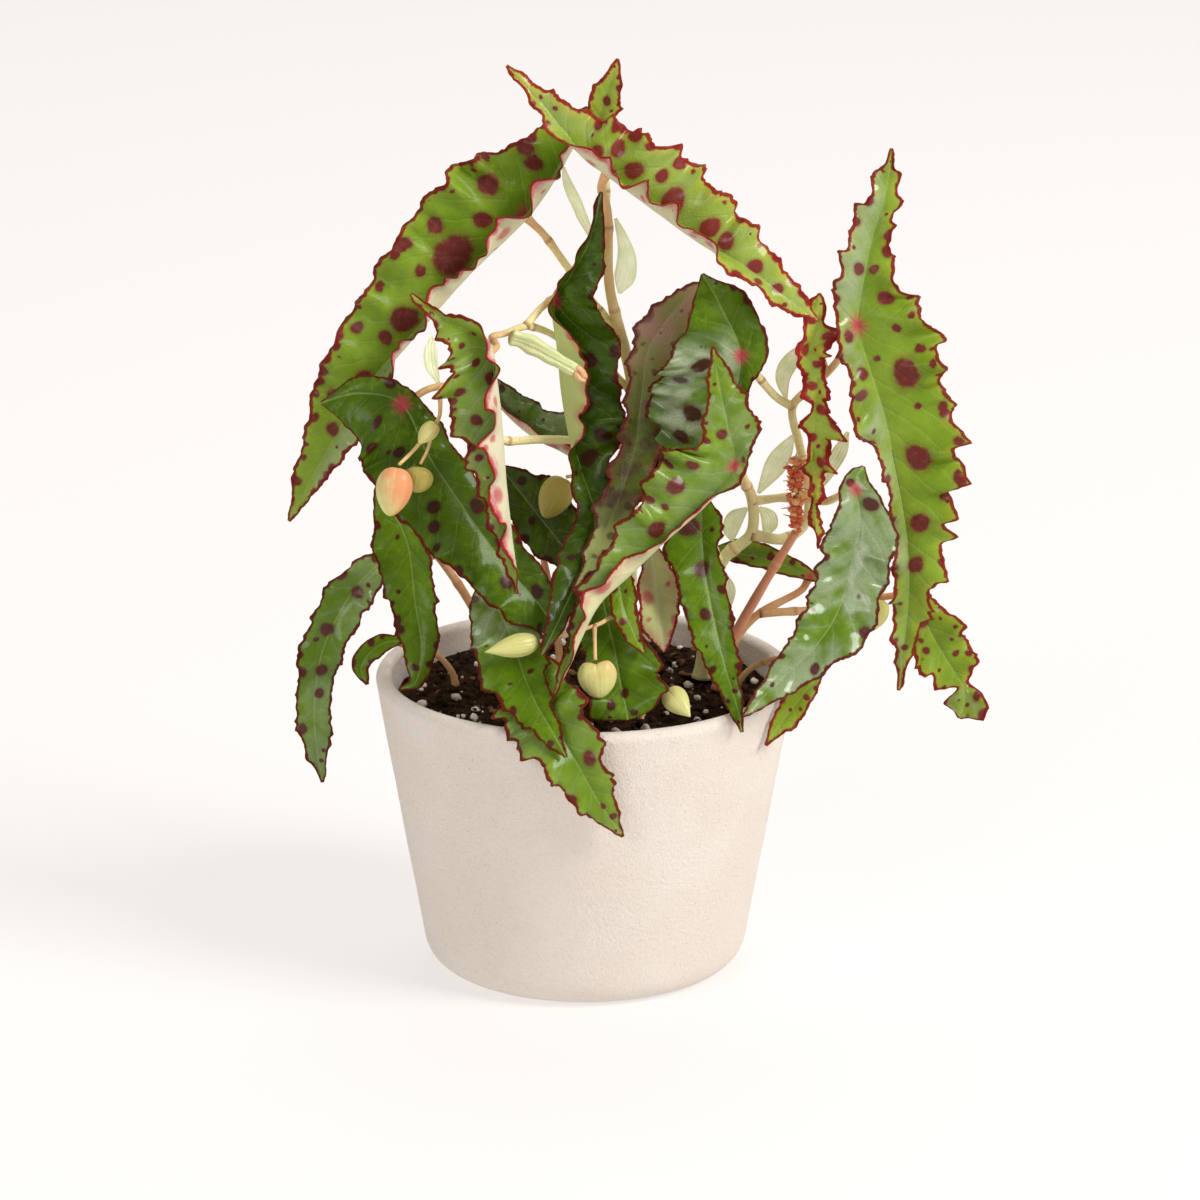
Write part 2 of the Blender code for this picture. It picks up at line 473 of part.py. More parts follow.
def capsule():
    """The long pale seed capsule at the left node: a loft of rings along its axis."""
    rings, sides = 8, 10
    rows = [(*point, radius) for point, radius in zip(CAPSULE, CAPSULE_RADII)]
    shape = bmesh.new()
    loops = []
    for step in range(rings + 1):
        x, y, z, radius = smooth_row(rows, (len(rows) - 1) * step / rings)
        ring = []
        for turn in range(sides):
            angle = 2 * math.pi * turn / sides
            spread = 1 + 0.18 * math.cos(3 * angle)
            offset = Vector((0.45 * math.cos(angle), math.sin(angle), 0.89 * math.cos(angle)))
            ring.append(shape.verts.new((Vector((x, y, z)) + offset * radius * spread) * MM))
        loops.append(ring)
    for loop, following in zip(loops, loops[1:]):
        for turn in range(sides):
            after = (turn + 1) % sides
            shape.faces.new((loop[turn], loop[after], following[after], following[turn]))
    shape.faces.new(loops[0])
    shape.faces.new(loops[-1])
    bmesh.ops.recalc_face_normals(shape, faces=shape.faces)
    mesh = bpy.data.meshes.new("capsule_long")
    shape.to_mesh(mesh)
    shape.free()
    return add_object("capsule_long", mesh, PAPER_GREEN, 0.5)


def flower_cluster():
    """A knobbly spindle of small red flowers round the top of the pink stalk."""
    axis = CLUSTER_TOP - CLUSTER_FOOT
    shape = bmesh.new()
    bmesh.ops.create_uvsphere(shape, u_segments=14, v_segments=12, radius=1.0)
    for vert in shape.verts:
        x, y, z = vert.co
        knob = 1 + 0.22 * math.sin(CLUSTER_KNOBS * z) * math.cos(3 * math.atan2(y, x) + 2 * z)
        spread = CLUSTER_RADIUS * knob * (1 - 0.25 * z)
        centre = CLUSTER_FOOT + axis * (z + 1) / 2
        vert.co = (centre + Vector((x * spread, y * spread, 0))) * MM
    mesh = bpy.data.meshes.new("flower_cluster")
    shape.to_mesh(mesh)
    shape.free()
    return add_object("flower_cluster", mesh, CLUSTER_RED, 0.6)


def wall_radius(height):
    return WALL_FOOT_RADIUS + WALL_SLOPE * height


def arc(centre, radius, start, end, steps):
    """Points of an arc in the turning plane, from one angle to another in degrees."""
    angles = [math.radians(start + (end - start) * step / steps) for step in range(steps + 1)]
    return [(centre[0] + radius * math.cos(angle), centre[1] + radius * math.sin(angle))
            for angle in angles]


def turned(name, profile, colour, roughness):
    """A profile of (radius, height) turned about Z; its outer side runs from top to bottom."""
    mesh = bpy.data.meshes.new(name)
    outline = bmesh.new()
    knots = [outline.verts.new((radius * MM, 0, height * MM)) for radius, height in profile]
    for knot, following in zip(knots, knots[1:]):
        outline.edges.new((knot, following))
    outline.to_mesh(mesh)
    outline.free()
    obj = add_object(name, mesh, colour, roughness)
    screw = obj.modifiers.new("Turn", "SCREW")
    screw.steps = POT_SIDES
    screw.render_steps = POT_SIDES
    screw.use_merge_vertices = True
    screw.merge_threshold = 0.00001
    screw.use_smooth_shade = True
    return obj


def pot():
    slope = math.degrees(math.atan(WALL_SLOPE))
    lip = WALL_THICKNESS / 2
    lip_centre = (wall_radius(POT_HEIGHT - lip) - lip, POT_HEIGHT - lip)
    foot_centre = (wall_radius(FOOT_FILLET) - FOOT_FILLET, FOOT_FILLET)
    inner_foot = wall_radius(FLOOR_THICKNESS) - WALL_THICKNESS
    profile = [(0, FLOOR_THICKNESS), (inner_foot, FLOOR_THICKNESS)]
    profile += arc(lip_centre, lip, 180, -slope, 2 * FILLET_STEPS)
    profile += arc(foot_centre, FOOT_FILLET, -slope, -90, FILLET_STEPS)
    profile += [(0, 0)]
    return turned("pot", profile, CREAM, 0.75)


def soil():
    top = SOIL_HEIGHT
    edge = top - SOIL_EDGE_DROP
    inner_top = wall_radius(edge) - WALL_THICKNESS - 2 * GAP
    inner_foot = wall_radius(FLOOR_THICKNESS) - WALL_THICKNESS - 2 * GAP
    profile = [(0, top), (inner_top - SOIL_EDGE_WIDTH, top), (inner_top, edge),
               (inner_foot, FLOOR_THICKNESS + GAP), (0, FLOOR_THICKNESS + GAP)]
    return turned("soil", profile, DARK_SOIL, 0.95)


def main():
    clear_scene()
    for name in ("potted_begonia", "cutters"):
        collection = bpy.data.collections.new(name)
        bpy.context.scene.collection.children.link(collection)
    pot()
    soil()
    for name, rows in LEAVES.items():
        blade(name, rows, LEAF_GREEN, 0.35, BLADE_THICKNESS, 2)
    for name, rows in BRACTS.items():
        blade(name, rows, PAPER_GREEN, 0.5, BRACT_THICKNESS, 1)
    for name, shoots in CANES.items():
        cane(name, shoots, CANE_TAN)
    for name, (base, tip, width, depth, notch) in BUDS.items():
        bud(name, base, tip, width, depth, notch)
    capsule()
    flower_cluster()


main()
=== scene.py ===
"""Looks of a potted begonia: fine leaves, bracts, canes, buds and flowers, soil, pot and stage.

Lengths are millimetres unless a name says otherwise; meshes are written in metres. +Z is up and the
plant's display side faces -Y.
"""
import math
from dataclasses import dataclass

import bmesh
import bpy
import numpy as np
from bpy.props import FloatProperty, FloatVectorProperty, IntProperty, PointerProperty
from mathutils import Matrix, Vector, noise


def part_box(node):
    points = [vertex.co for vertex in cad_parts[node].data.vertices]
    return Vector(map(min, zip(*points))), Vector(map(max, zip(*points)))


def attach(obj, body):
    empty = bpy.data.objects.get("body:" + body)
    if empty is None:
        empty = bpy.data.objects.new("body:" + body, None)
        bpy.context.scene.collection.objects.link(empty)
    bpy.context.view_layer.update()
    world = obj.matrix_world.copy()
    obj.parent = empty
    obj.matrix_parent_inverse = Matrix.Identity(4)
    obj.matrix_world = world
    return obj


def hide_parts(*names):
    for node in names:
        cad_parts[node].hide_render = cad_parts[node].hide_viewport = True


bl_info = {
    "name": "Potted Begonia",
    "version": (1, 0, 0),
    "blender": (4, 5, 0),
    "location": "3D View > Sidebar > Begonia",
    "description": "Builds the fine surfaces of a potted begonia round its packed solids",
    "category": "Object",
}

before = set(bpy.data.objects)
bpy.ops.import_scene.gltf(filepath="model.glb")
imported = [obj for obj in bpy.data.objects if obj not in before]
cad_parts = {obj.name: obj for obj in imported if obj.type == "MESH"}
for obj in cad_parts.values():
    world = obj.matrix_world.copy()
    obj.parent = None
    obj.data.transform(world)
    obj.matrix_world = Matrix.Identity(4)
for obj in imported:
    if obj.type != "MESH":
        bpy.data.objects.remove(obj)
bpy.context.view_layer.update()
MM = 0.001
BODY = "root"

POT_HEIGHT = (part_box("pot")[1] / MM)[2]
SOIL_LOW, SOIL_HIGH = (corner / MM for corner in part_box("soil"))

SHOW = np.array((0.0, -0.954, 0.299)) / math.hypot(0.954, 0.299)   # the way the plant faces
TIP_WIDTH = 0.5
BLADE_BULGE = 0.22
SEAT_DROP = 1.15             # from the midrib to where its petiole has turned towards it
TURN_SHARE = 0.4             # of a petiole's last stretch
FOLD_RADIUS = 1.2            # a folded blade's crease is this round
ROW_STEP = 0.66              # length of one step along a fine blade
VEIN_SLANT = 1.05            # how far a side vein runs along the blade for each millimetre across it
LOBE_SPACING = 11.0          # along the margin, each lobe carrying teeth and notches
TOOTH_SPACING = 4.6
NOTCH_SPACING = 2.3
RUFFLE_LENGTH = 17.0         # from wave to wave of the margin
RIPPLE_LENGTH = 7.5          # of the short waves on those
FAR_FROM_SPOTS = 9.0         # in spot radii
BRANCH_HEIGHT = 90.0         # a shoot that begins above this leaves a cane, and has a ring there
# Shares of a half blade's width: close together at the midrib and at the margin
COLUMNS = (0, 0.025, 0.06, 0.11, 0.18, 0.26, 0.34, 0.42, 0.5, 0.58, 0.66, 0.74, 0.81, 0.88, 0.93, 0.97, 1.0)

POLE = 0.01                  # radius of a turned shape's first and last ring
GOLDEN_ANGLE = 2.399         # in radians, from scale to scale of the flower cluster
# Where the caps of a round shape lie in the atlas
CAPS_BY_BAND = ((0.93, 0.1), (0.96, 0.3))
CAPS_AT_EDGE = ((0.97, 0.1), (0.97, 0.3))
# How far red, green and blue light spread under a skin, in metres
CANE_SPREAD = (0.002, 0.0012, 0.0006)
BUD_SPREAD = (0.003, 0.002, 0.001)

# The stage, in metres
FLOOR_REACH = 4.0
FLOOR_CLOUD = (0.40, 0.38, 0.36, 1.0)
FLOOR_LIGHT = (1.0, 0.97, 0.955, 1.0)
AIR_COLOUR = (1.0, 0.985, 0.97, 1.0)
LAMP_COLOUR = (1.0, 0.975, 0.94)
LAMP_TARGET = Vector((0.0, 0.0, 0.13))
LAMPS = {"key": ((1.8, -1.0, 1.7), 1.2), "fill": ((-1.1, -1.6, 1.05), 0.9), "top": ((0.1, 1.1, 1.9), 1.5)}


@dataclass
class Leaf:
    """A leaf's midrib rows, in the form that its solid has them, and what its surface shows.

    A row is a midrib point, then the half width and lift of each side. Spots are (place in rows,
    share of the half width, radius); the first side counts as negative.
    """
    rows: list
    lime: float = 0.4         # from dark green at 0 to yellow green at 1
    sheen: float = 0.1        # painted grey sheen in the colour, and the glossy coat's weight
    sheen_side: int = 0       # -1 or 1 keeps the painted sheen to one half
    tooth: float = 1.2
    ruffle: float = 1.2
    freckles: int = 12
    sheen_span: tuple = ()    # rows between which the sheen lies, empty for all
    rounding: float = 1.3     # length over which the lobes are rounded
    blunt: bool = False       # teeth run on round the end
    lobed: float = 1.0        # how far the margin's broad lobes stand out
    marks: float = 0.35       # red marks along the margin, per 5 mm of midrib
    face: str = "upper"       # the side that faces the viewer: upper, under or bronze
    seat: float = 1.5         # where the petiole meets the midrib, in rows
    star: float = 7.0         # radius of the red star over the petiole
    under_green: float = 0.35  # underside, from cream to green
    under_blush: float = 0.4  # pink wash of the underside
    spots: tuple = ()


LEAVES = {
    "leaf_arch_left": Leaf([
        (1, 12, 269), (-4, 10, 258, 11, 10, 8, 95), (-16.5, 6, 238.5, 24, 15, 14, 104),
        (-36, 0, 220, 26, 10, 15, 104), (-52.5, -5, 202, 21, 5, 13, 95), (-67, -8, 185.5, 15, 5, 10, 60),
        (-80, -8, 163.5, 8, 5, 5, 20), (-90.5, -6, 143.5)],
        marks=2.2, sheen_side=1, lobed=1.9, rounding=5.0, sheen_span=(-1, 9), lime=0.58, sheen=0.62,
        tooth=0.95, ruffle=1.6, freckles=12, seat=2.1, star=8, under_green=0.3, under_blush=0.9,
        spots=((2.1, -0.6, 4), (2.85, -0.72, 2.8), (2.95, -0.3, 6.5), (2.45, -0.35, 3), (3.2, -0.86, 2),
               (3.35, -0.5, 2), (3.5, -0.1, 1.6), (4.25, -0.3, 2.4), (3.9, -0.25, 4.4), (4.9, -0.1, 3.8),
               (5.3, -0.45, 3), (1.5, -0.45, 3), (1.4, -0.8, 2.8), (4.4, -0.75, 2), (5.6, -0.2, 2.2))),
    "leaf_arch_top": Leaf([
        (-23.5, 2, 284), (-13.5, 0, 273.5, 3, 40, 4, 10), (-0.5, -2, 258, 9, 100, 12, 10),
        (7, -2, 252, 12, 102, 16, 10), (19.5, -4, 243, 13, 105, 19, 10), (35, -8, 232.5, 11, 100, 15, 5),
        (49, -12, 225, 6, 60, 9, 0), (61, -14, 216, 4, 20, 5, 0), (70.5, -14, 209)],
        marks=1.3, lobed=1.1, sheen=0.35, lime=0.82, tooth=1.6, ruffle=1.9, freckles=26, seat=3.0, star=6,
        under_green=0.3, under_blush=0.6,
        spots=((2.2, 0.25, 2.2), (2.8, 0.55, 2.8), (3.4, 0.35, 3.2), (3.0, 0.8, 2), (3.9, 0.5, 2.2),
               (4.3, 0.25, 4.2), (4.0, 0.85, 1.8), (5.0, 0.3, 3.4), (5.4, 0.3, 2.9), (6.1, 0.2, 2.4),
               (6.7, 0.1, 1.8))),
    "leaf_top_small": Leaf([
        (3.5, 9, 261), (4.5, 9, 267, 4.5, 15, 4, 15), (6.5, 9, 273.5, 4.8, 15, 4.2, 15),
        (8.5, 8, 279.5, 3, 15, 2.5, 15), (10, 7, 285)],
        marks=0.6, lime=0.75, tooth=1.0, ruffle=0.9, freckles=9, seat=0.9, star=0),
    "leaf_centre_fold": Leaf([
        (5, -4, 246.5), (1.5, -2, 231, 2.5, 100, 5, 20), (-4.5, 0, 219, 4, 95, 10, 20),
        (-9, 0, 211.5, 7, 98, 15, 15), (-7.5, 0, 197, 14, 130, 18.5, 10), (-6, 0, 181.5, 14, 130, 17, 10),
        (-3.5, -2, 167.5, 11, 112, 15.5, 10), (-0.5, -7, 158, 6, 60, 9, 15), (3, -16, 148, 6, 20, 4, 20),
        (1, -29, 139.5, 8, 10, 3.5, 10), (-5, -42, 129.5, 6, 10, 3, 10), (-9.5, -49, 121.5, 3, 10, 2.5, 10),
        (-13, -52, 115)],
        lobed=1.3, rounding=3.0, lime=0.1, sheen=0.15, tooth=0.6, ruffle=1.2, freckles=14, seat=3.0,
        star=5, under_green=1.0, under_blush=0.3,
        spots=((4.3, 0.5, 2.6), (5.2, 0.35, 3.2), (6.0, 0.6, 2.8), (6.6, 0.3, 3))),
    "leaf_centre_gloss": Leaf([
        (35.5, -6, 221.5), (41.5, -10, 211.5, 12, 5, 8.5, 10), (47, -13, 199, 23, 5, 8, 15),
        (46, -14, 185.5, 26, 0, 3, 10), (41, -12, 170.5, 23.5, 0, 4, 10), (33.5, -6, 154.5, 14, 0, 5, 0),
        (25.5, -2, 140.5)],
        sheen_side=-1, lobed=1.3, sheen_span=(1.6, 4.4), rounding=3.0, lime=0.27, sheen=1.0, tooth=0.9,
        ruffle=1.2, freckles=8, seat=2.1, star=5.5,
        spots=((2.2, -0.5, 3.2), (2.8, -0.75, 2.2), (3.6, -0.45, 3.4), (4.2, -0.5, 3))),
    "leaf_centre_behind": Leaf([
        (36, 4, 216.5), (26.5, 0, 207.5, 6, 0, 9, 0), (19, -3, 196.5, 5, 0, 10, 0),
        (17, -5, 183, 4.5, 10, 9.5, 0), (15, -9, 166.5, 5, 10, 8.5, 0), (10.5, -17, 154.5, 5, 10, 6.5, 0),
        (6, -25, 146, 4, 10, 4.5, 10), (1, -33.5, 138.5, 2.2, 10, 2.8, 10), (-3.5, -43, 132)],
        face="bronze", lobed=2.0, marks=1.2, lime=0.05, sheen=0.3, tooth=1.3, ruffle=1.0, freckles=26,
        seat=1.2, star=0),
    "leaf_front_cross": Leaf([
        (38.5, -22, 203), (40.5, -25, 191.5, 3, 20, 5.5, 10), (43, -28, 180, 8, 15, 8, 10),
        (45, -30, 168, 18, 10, 4, 40), (35.5, -33, 157, 18, 10, 5, 100), (24, -37, 147.5, 14, 10, 7, 110),
        (13, -42, 138, 10, 10, 9, 125), (3.5, -47, 130, 6, 10, 9, 130), (-3, -53, 118.5, 3, 20, 5, 120),
        (-9, -58, 105)],
        lobed=1.3, rounding=2.0, lime=0.5, sheen=0.4, tooth=1.2, ruffle=1.5, freckles=10, seat=3.0,
        star=5, under_green=0.45, under_blush=0.35,
        spots=((4.15, -0.55, 3), (3.5, -0.55, 2.2), (5.0, -0.3, 2.8), (2.2, -0.3, 1.8), (4.7, -0.8, 1.6))),
    "leaf_left_dark": Leaf([
        (-79.5, -22, 185.5), (-67.5, -24, 189, 14, 10, 5, -20), (-55, -26, 186, 21, 10, 5, -20),
        (-47, -28, 170.5, 20, 15, 8, -10), (-34.5, -31, 152, 16.5, 15, 9.5, 0),
        (-24, -34, 138, 12.5, 20, 8.5, 10), (-15, -37, 128, 10, 20, 7, 5), (-7, -39, 117)],
        lobed=1.2, rounding=3.0, marks=0.25, lime=0.21, sheen=0.12, tooth=0.7, ruffle=1.4, freckles=8,
        seat=2.0, star=6,
        spots=((1.7, -0.45, 2.4), (2.2, -0.75, 2.2), (2.7, -0.4, 2), (3.2, -0.3, 2.2), (3.6, -0.45, 2.2),
               (3.9, 0.4, 2.4), (4.6, 0.45, 2.4), (5.3, -0.3, 2.2), (5.9, 0.3, 2.2))),
    "leaf_left_hanging": Leaf([
        (-62.5, -8, 162.5), (-59, -10, 149.5, 6, 15, 6, 15), (-54, -12, 137.5, 11, 15, 6, 10),
        (-52, -16, 121.5, 8.5, 15, 6.5, 10), (-50, -21, 108.5, 6, 15, 5, 10),
        (-51.5, -26, 98.5, 2.5, 10, 2, 10), (-56.5, -28, 96.5)],
        sheen=0.12, lime=0.33, tooth=0.8, ruffle=1.4, freckles=10, seat=1.5, star=0),
    "leaf_far_left": Leaf([
        (-57, 8, 130.5), (-66.5, 6, 123.5, 5, 15, 5, 10), (-74, 3, 114.5, 7, 15, 7, 10),
        (-81, 0, 100, 6.5, 15, 6.5, 10), (-83.5, -2, 86, 5.5, 15, 5, 10), (-83.5, -3, 72, 4, 15, 4.5, 10),
        (-81.5, -3, 58)],
        lime=0.38, sheen=0.4, tooth=1.0, ruffle=1.5, freckles=10, seat=0.7, star=0,
        spots=((1.6, 0.2, 2.2), (2.6, -0.2, 2.4), (3.4, 0.2, 2))),
    "leaf_rim_curl": Leaf([
        (-55.5, -2, 104), (-62.5, -4, 103.5, 3, 20, 3, 20), (-67.5, -6, 99.5, 3.5, 20, 3, 20),
        (-69, -7, 96, 2.5, 20, 2.5, 20), (-67, -8, 91.5)],
        lime=0.4, tooth=0.5, ruffle=0.6, freckles=4, seat=0.4, star=0),
    "leaf_front_left": Leaf([
        (-31.5, -21, 130.5), (-26.5, -30, 123, 10, 10, 8, 15), (-22, -38, 115.5, 13, 10, 9, 10),
        (-18.5, -47, 107.5, 11.5, 10, 7.5, 10), (-14.5, -57, 101.5, 8, 15, 5, 10),
        (-10, -66.5, 96.5, 4.5, 15, 3, 10), (-5.5, -71.5, 89.5)],
        sheen_span=(-1, 2.2), lime=0.34, sheen=0.95, tooth=1.15, ruffle=1.5, freckles=8, seat=0.9, star=0),
    "leaf_front_rim": Leaf([
        (-18, -36, 115), (-15, -45, 106.5, 7, 10, 8, 10), (-13, -51, 100.5, 12.5, 10, 11, 10),
        (-9, -62.5, 96.5, 13, 12, 12, 15), (-3, -67.5, 87.5, 10, 15, 9, 15), (3.5, -66.5, 75, 6.5, 15, 6, 15),
        (11.5, -63.5, 61.5)],
        marks=0.6, lobed=1.2, lime=0.5, sheen=0.3, tooth=1.4, ruffle=1.6, freckles=12, seat=0.5, star=0),
    "leaf_front_middle": Leaf([
        (4.5, -22, 129.5), (6.5, -30, 121, 7, 5, 6, 5), (9, -38, 112.5, 10, 5, 10.5, 5),
        (11, -46, 103.5, 10.5, 5, 12, 5), (12.5, -51, 98, 10.5, 5, 11.5, 5), (13, -53.5, 95)],
        lobed=1.0, blunt=True, lime=0.28, sheen=0.1, tooth=1.5, ruffle=2.4, freckles=5, seat=0.9, star=0),
    "leaf_front_narrow": Leaf([
        (7, -26, 140.5), (10, -32, 132.5, 3.5, 15, 4.5, 15), (12, -37, 125, 4, 15, 4, 15),
        (15, -41, 118, 3, 15, 2, 15), (18, -43, 113)],
        lime=0.5, tooth=1.0, ruffle=0.9, freckles=8, seat=0.6, star=0),
    "leaf_pale_under": Leaf([
        (18.5, -7, 138.5), (20.5, -12, 131.5, 4, 20, 5, 20), (22, -18, 122, 6, 20, 7, 20),
        (23.5, -23, 114, 5, 20, 4.5, 20), (24, -27, 108)],
        face="under", lime=0.5, tooth=0.9, ruffle=2.0, freckles=4, seat=0.8, star=0, under_green=0.85,
        under_blush=0.15),
    "leaf_right_hanging": Leaf([
        (36, -13, 155), (35.5, -15, 147.5, 8, 10, 6, 15), (36, -19, 138, 12, 10, 5, 20),
        (37.5, -24, 127, 9.5, 10, 5.5, 15), (40, -30, 116, 8.5, 10, 5, 10), (43, -37, 105, 5.5, 10, 4, 10),
        (46, -45, 96.5, 3, 10, 2, 10), (47.5, -49.5, 90)],
        lime=0.33, sheen=0.12, tooth=1.1, ruffle=1.4, freckles=8, seat=1.6, star=0,
        spots=((1.3, -0.45, 3.6), (2.5, -0.1, 2.8), (3.6, -0.3, 2))),
    "leaf_right_gloss": Leaf([
        (84.5, -18, 164.5), (82, -20, 159.5, 4, 15, 5, 10), (83.5, -23, 148.5, 9, 15, 10.5, 10),
        (81, -26, 136.5, 9, 15, 12, 10), (77, -31, 123, 10, 15, 12, 10), (70, -37, 113.5, 8, 15, 8.5, 10),
        (60, -44, 105.5, 5, 15, 6, 10), (47.5, -54, 96.5)],
        lobed=1.4, rounding=3.0, lime=0.36, sheen=0.75, tooth=0.9, ruffle=1.5, freckles=8, seat=1.2, star=5),
    "leaf_right_tip": Leaf([
        (72.5, -24, 101), (65.5, -28, 93.5, 4, 10, 4, 10), (59.5, -32, 86.5, 3, 10, 3, 10),
        (55, -35.5, 81)],
        marks=0.8, lime=0.6, tooth=1.2, ruffle=0.8, freckles=6, seat=0.4, star=0),
    "leaf_right_tall": Leaf([
        (92.5, 0, 259), (91, -2, 246, 4.5, 20, 3.5, 10), (87, -4, 232.5, 8, 20, 5.5, 10),
        (84, -6, 217.5, 8, 20, 13, 10), (82.5, -8, 206, 7.5, 20, 22, 8), (86, -9, 193.5, 8, 20, 25, 8),
        (90.5, -10, 179.5, 10.5, 20, 22, 8), (94, -11, 164, 4.5, 20, 20, 8), (98, -12, 142, 5, 20, 13, 8),
        (99, -11, 119.5, 5, 20, 7, 8), (96.5, -9, 90)],
        marks=1.0, sheen_side=-1, lobed=1.8, rounding=1.3, lime=0.62, sheen=0.75, tooth=1.35, ruffle=2.0,
        freckles=16, seat=4.0, star=7,
        spots=((3.2, 0.45, 2.8), (4.1, 0.55, 1.8), (5.35, 0.45, 4.6), (5.1, -0.4, 2), (7.0, 0.4, 4.2),
               (4.9, 0.75, 1.8), (7.9, 0.35, 3.2), (8.5, 0.2, 2.8), (2.6, 0.3, 1.6), (6.2, 0.8, 1.8))),
    "leaf_far_right": Leaf([
        (96, 4, 123), (103.5, 4, 111, 5, 10, 6, 10), (109, 4, 100.5, 7, 10, 9, 10),
        (114.5, 4, 91.5, 7, 10, 5.5, 0), (117, 3, 87.5, 2.5, -20, 2.5, 20), (117.5, 2, 82.5, 7, -30, 8, 30),
        (116, 1, 77.5)],
        marks=2.0, lobed=1.3, blunt=True, sheen_span=(4.1, 9), lime=0.64, sheen=0.95, tooth=1.7,
        ruffle=2.2, freckles=16, seat=0.7, star=0),
    "leaf_left_fold": Leaf([
        (-52, -30, 221.5), (-40.5, -32, 213.5, 5, 20, 3, 60), (-29.5, -34, 207, 14, 15, 8, 95),
        (-27, -37, 195, 17, 10, 11, 105), (-25.5, -39, 181.5, 13, 10, 12, 120),
        (-24.5, -41, 166.5, 8, 10, 12, 120), (-22.5, -43, 147, 4, 20, 7, 118), (-20.5, -44, 132)],
        marks=1.2, lobed=1.5, sheen=0.4, lime=0.6, tooth=1.4, ruffle=1.7, freckles=16, seat=2.2, star=0,
        under_green=0.15,
        under_blush=0.7, spots=((2.0, 0.55, 1.6), (2.6, 0.5, 1.9), (3.3, 0.45, 1.5), (4.1, 0.5, 1.3),
                                (2.3, -0.4, 1.6), (3.0, -0.6, 1.8), (3.7, -0.45, 1.9), (4.5, -0.6, 1.4))),
    "leaf_edge_on": Leaf([
        (-29, 15, 184), (-24.5, 15, 173.5, 5, 115, 7, -20), (-15.5, 15, 165, 8, 118, 9, -25),
        (-7.5, 16, 160.5, 8, 115, 10, -25), (1.5, 18, 154.5, 6, 100, 7, -20), (9, 20, 148)],
        lime=0.25, sheen=0.5, tooth=0.8, ruffle=0.8, freckles=10, seat=0.9, star=0),
    "leaf_back_dark": Leaf([
        (-27, 24, 153), (-20, 24, 143.5, 7, 10, 8, 10), (-13, 23, 134.5, 9, 10, 11, 10),
        (-7, 22, 127, 7, 10, 7, 10), (0, 20, 118)],
        sheen=0.2, lime=0.14, tooth=1.0, ruffle=1.2, freckles=6, seat=1.5, star=0),
    "leaf_crinkled": Leaf([
        (71, -6, 215.5), (70.5, -6, 205, 5, 30, 4, 20), (68.5, -5, 197, 5.5, 30, 4.5, 20),
        (70.5, -5, 187.5, 4, 30, 3.5, 20), (70, -5, 175, 3, 30, 6, 20), (69.5, -5, 162.5, 2, 30, 5, 20),
        (70, -6, 148, 2, 30, 2.5, 20), (71.5, -7, 135)],
        marks=9.0, lobed=1.9, lime=0.88, tooth=2.1, ruffle=3.2, freckles=60, seat=2.0, star=0,
        spots=((0.8, -0.5, 1.5), (1.3, 0.5, 1.7), (1.9, -0.4, 1.9), (2.5, 0.4, 1.5), (3.1, -0.3, 1.6),
               (3.7, 0.4, 1.8), (4.4, -0.3, 1.6), (5.0, 0.4, 1.5), (5.6, -0.2, 1.4))),
    "leaf_back_level": Leaf([
        (39.5, 14, 128.5), (48, 14, 127, 3.5, 40, 4.5, 0), (59, 13, 124.5, 3.5, 40, 4, 0),
        (68, 12, 121, 2, 40, 2.5, 0), (72.5, 11, 119)],
        lime=0.5, sheen=0.2, tooth=0.6, ruffle=0.8, freckles=8, seat=3.3, star=3.5),
}


# Papery bracts, in the same rows
BRACTS = {
    "bract_top_cane": [
        (9.3, 5, 236), (12.5, 4, 226, 2.5, 10, 2.5, 10), (12, 4, 218, 3, 10, 3.5, 10),
        (10.5, 3, 213)],
    "bract_top_slim": [
        (5.0, 5, 226.5), (1.5, 6, 231.5, 1.2, 20, 1.2, 20), (-2.5, 7, 240, 1.8, 20, 1.8, 20),
        (-5, 7, 246, 1.5, 20, 1.5, 20), (-6.5, 7, 251.5)],
    "bract_left_high": [
        (-44, -20.5, 191.2), (-46, -19.5, 196, 2, 20, 2, 20), (-46.5, -18.5, 201, 2, 20, 2, 20),
        (-46, -18, 205)],
    "bract_right_node": [
        (61.5, 5.5, 179), (60.5, 5.5, 186, 2.5, 20, 2.5, 20), (64, 6, 192, 2.5, 20, 2.5, 20),
        (68, 6, 196)],
    "bract_right_low": [
        (53.3, 5.5, 149), (58, 4, 158, 3.5, 10, 3, 10), (61.5, 2.5, 164, 2.5, 10, 2.5, 10),
        (63.5, 1.5, 168.5)],
    "bract_right_hanging": [
        (50, 9.6, 143), (46.5, 11, 139.5, 2.6, 10, 2.6, 10), (45, 12, 135, 2.4, 10, 2.4, 10),
        (45.5, 12.5, 131.5)],
    "bract_right_twin": [
        (53.6, 9.8, 143.2), (56.5, 12, 140, 2.4, 10, 2.4, 10), (57, 14, 136, 2.4, 10, 2.4, 10),
        (55.5, 15, 132.5)],
    "bract_far_slim": [
        (71, 3.9, 149.3), (74, 4, 156, 2.2, 10, 2.2, 10), (78, 4, 163, 2.4, 10, 2, 10),
        (80.5, 4, 169)],
    "bract_low_pink": [
        (43.3, 11, 121.5), (44.5, 12, 116.5, 2, 10, 2, 10), (44, 12, 112, 1.8, 10, 1.8, 10),
        (43, 12, 108)],
}

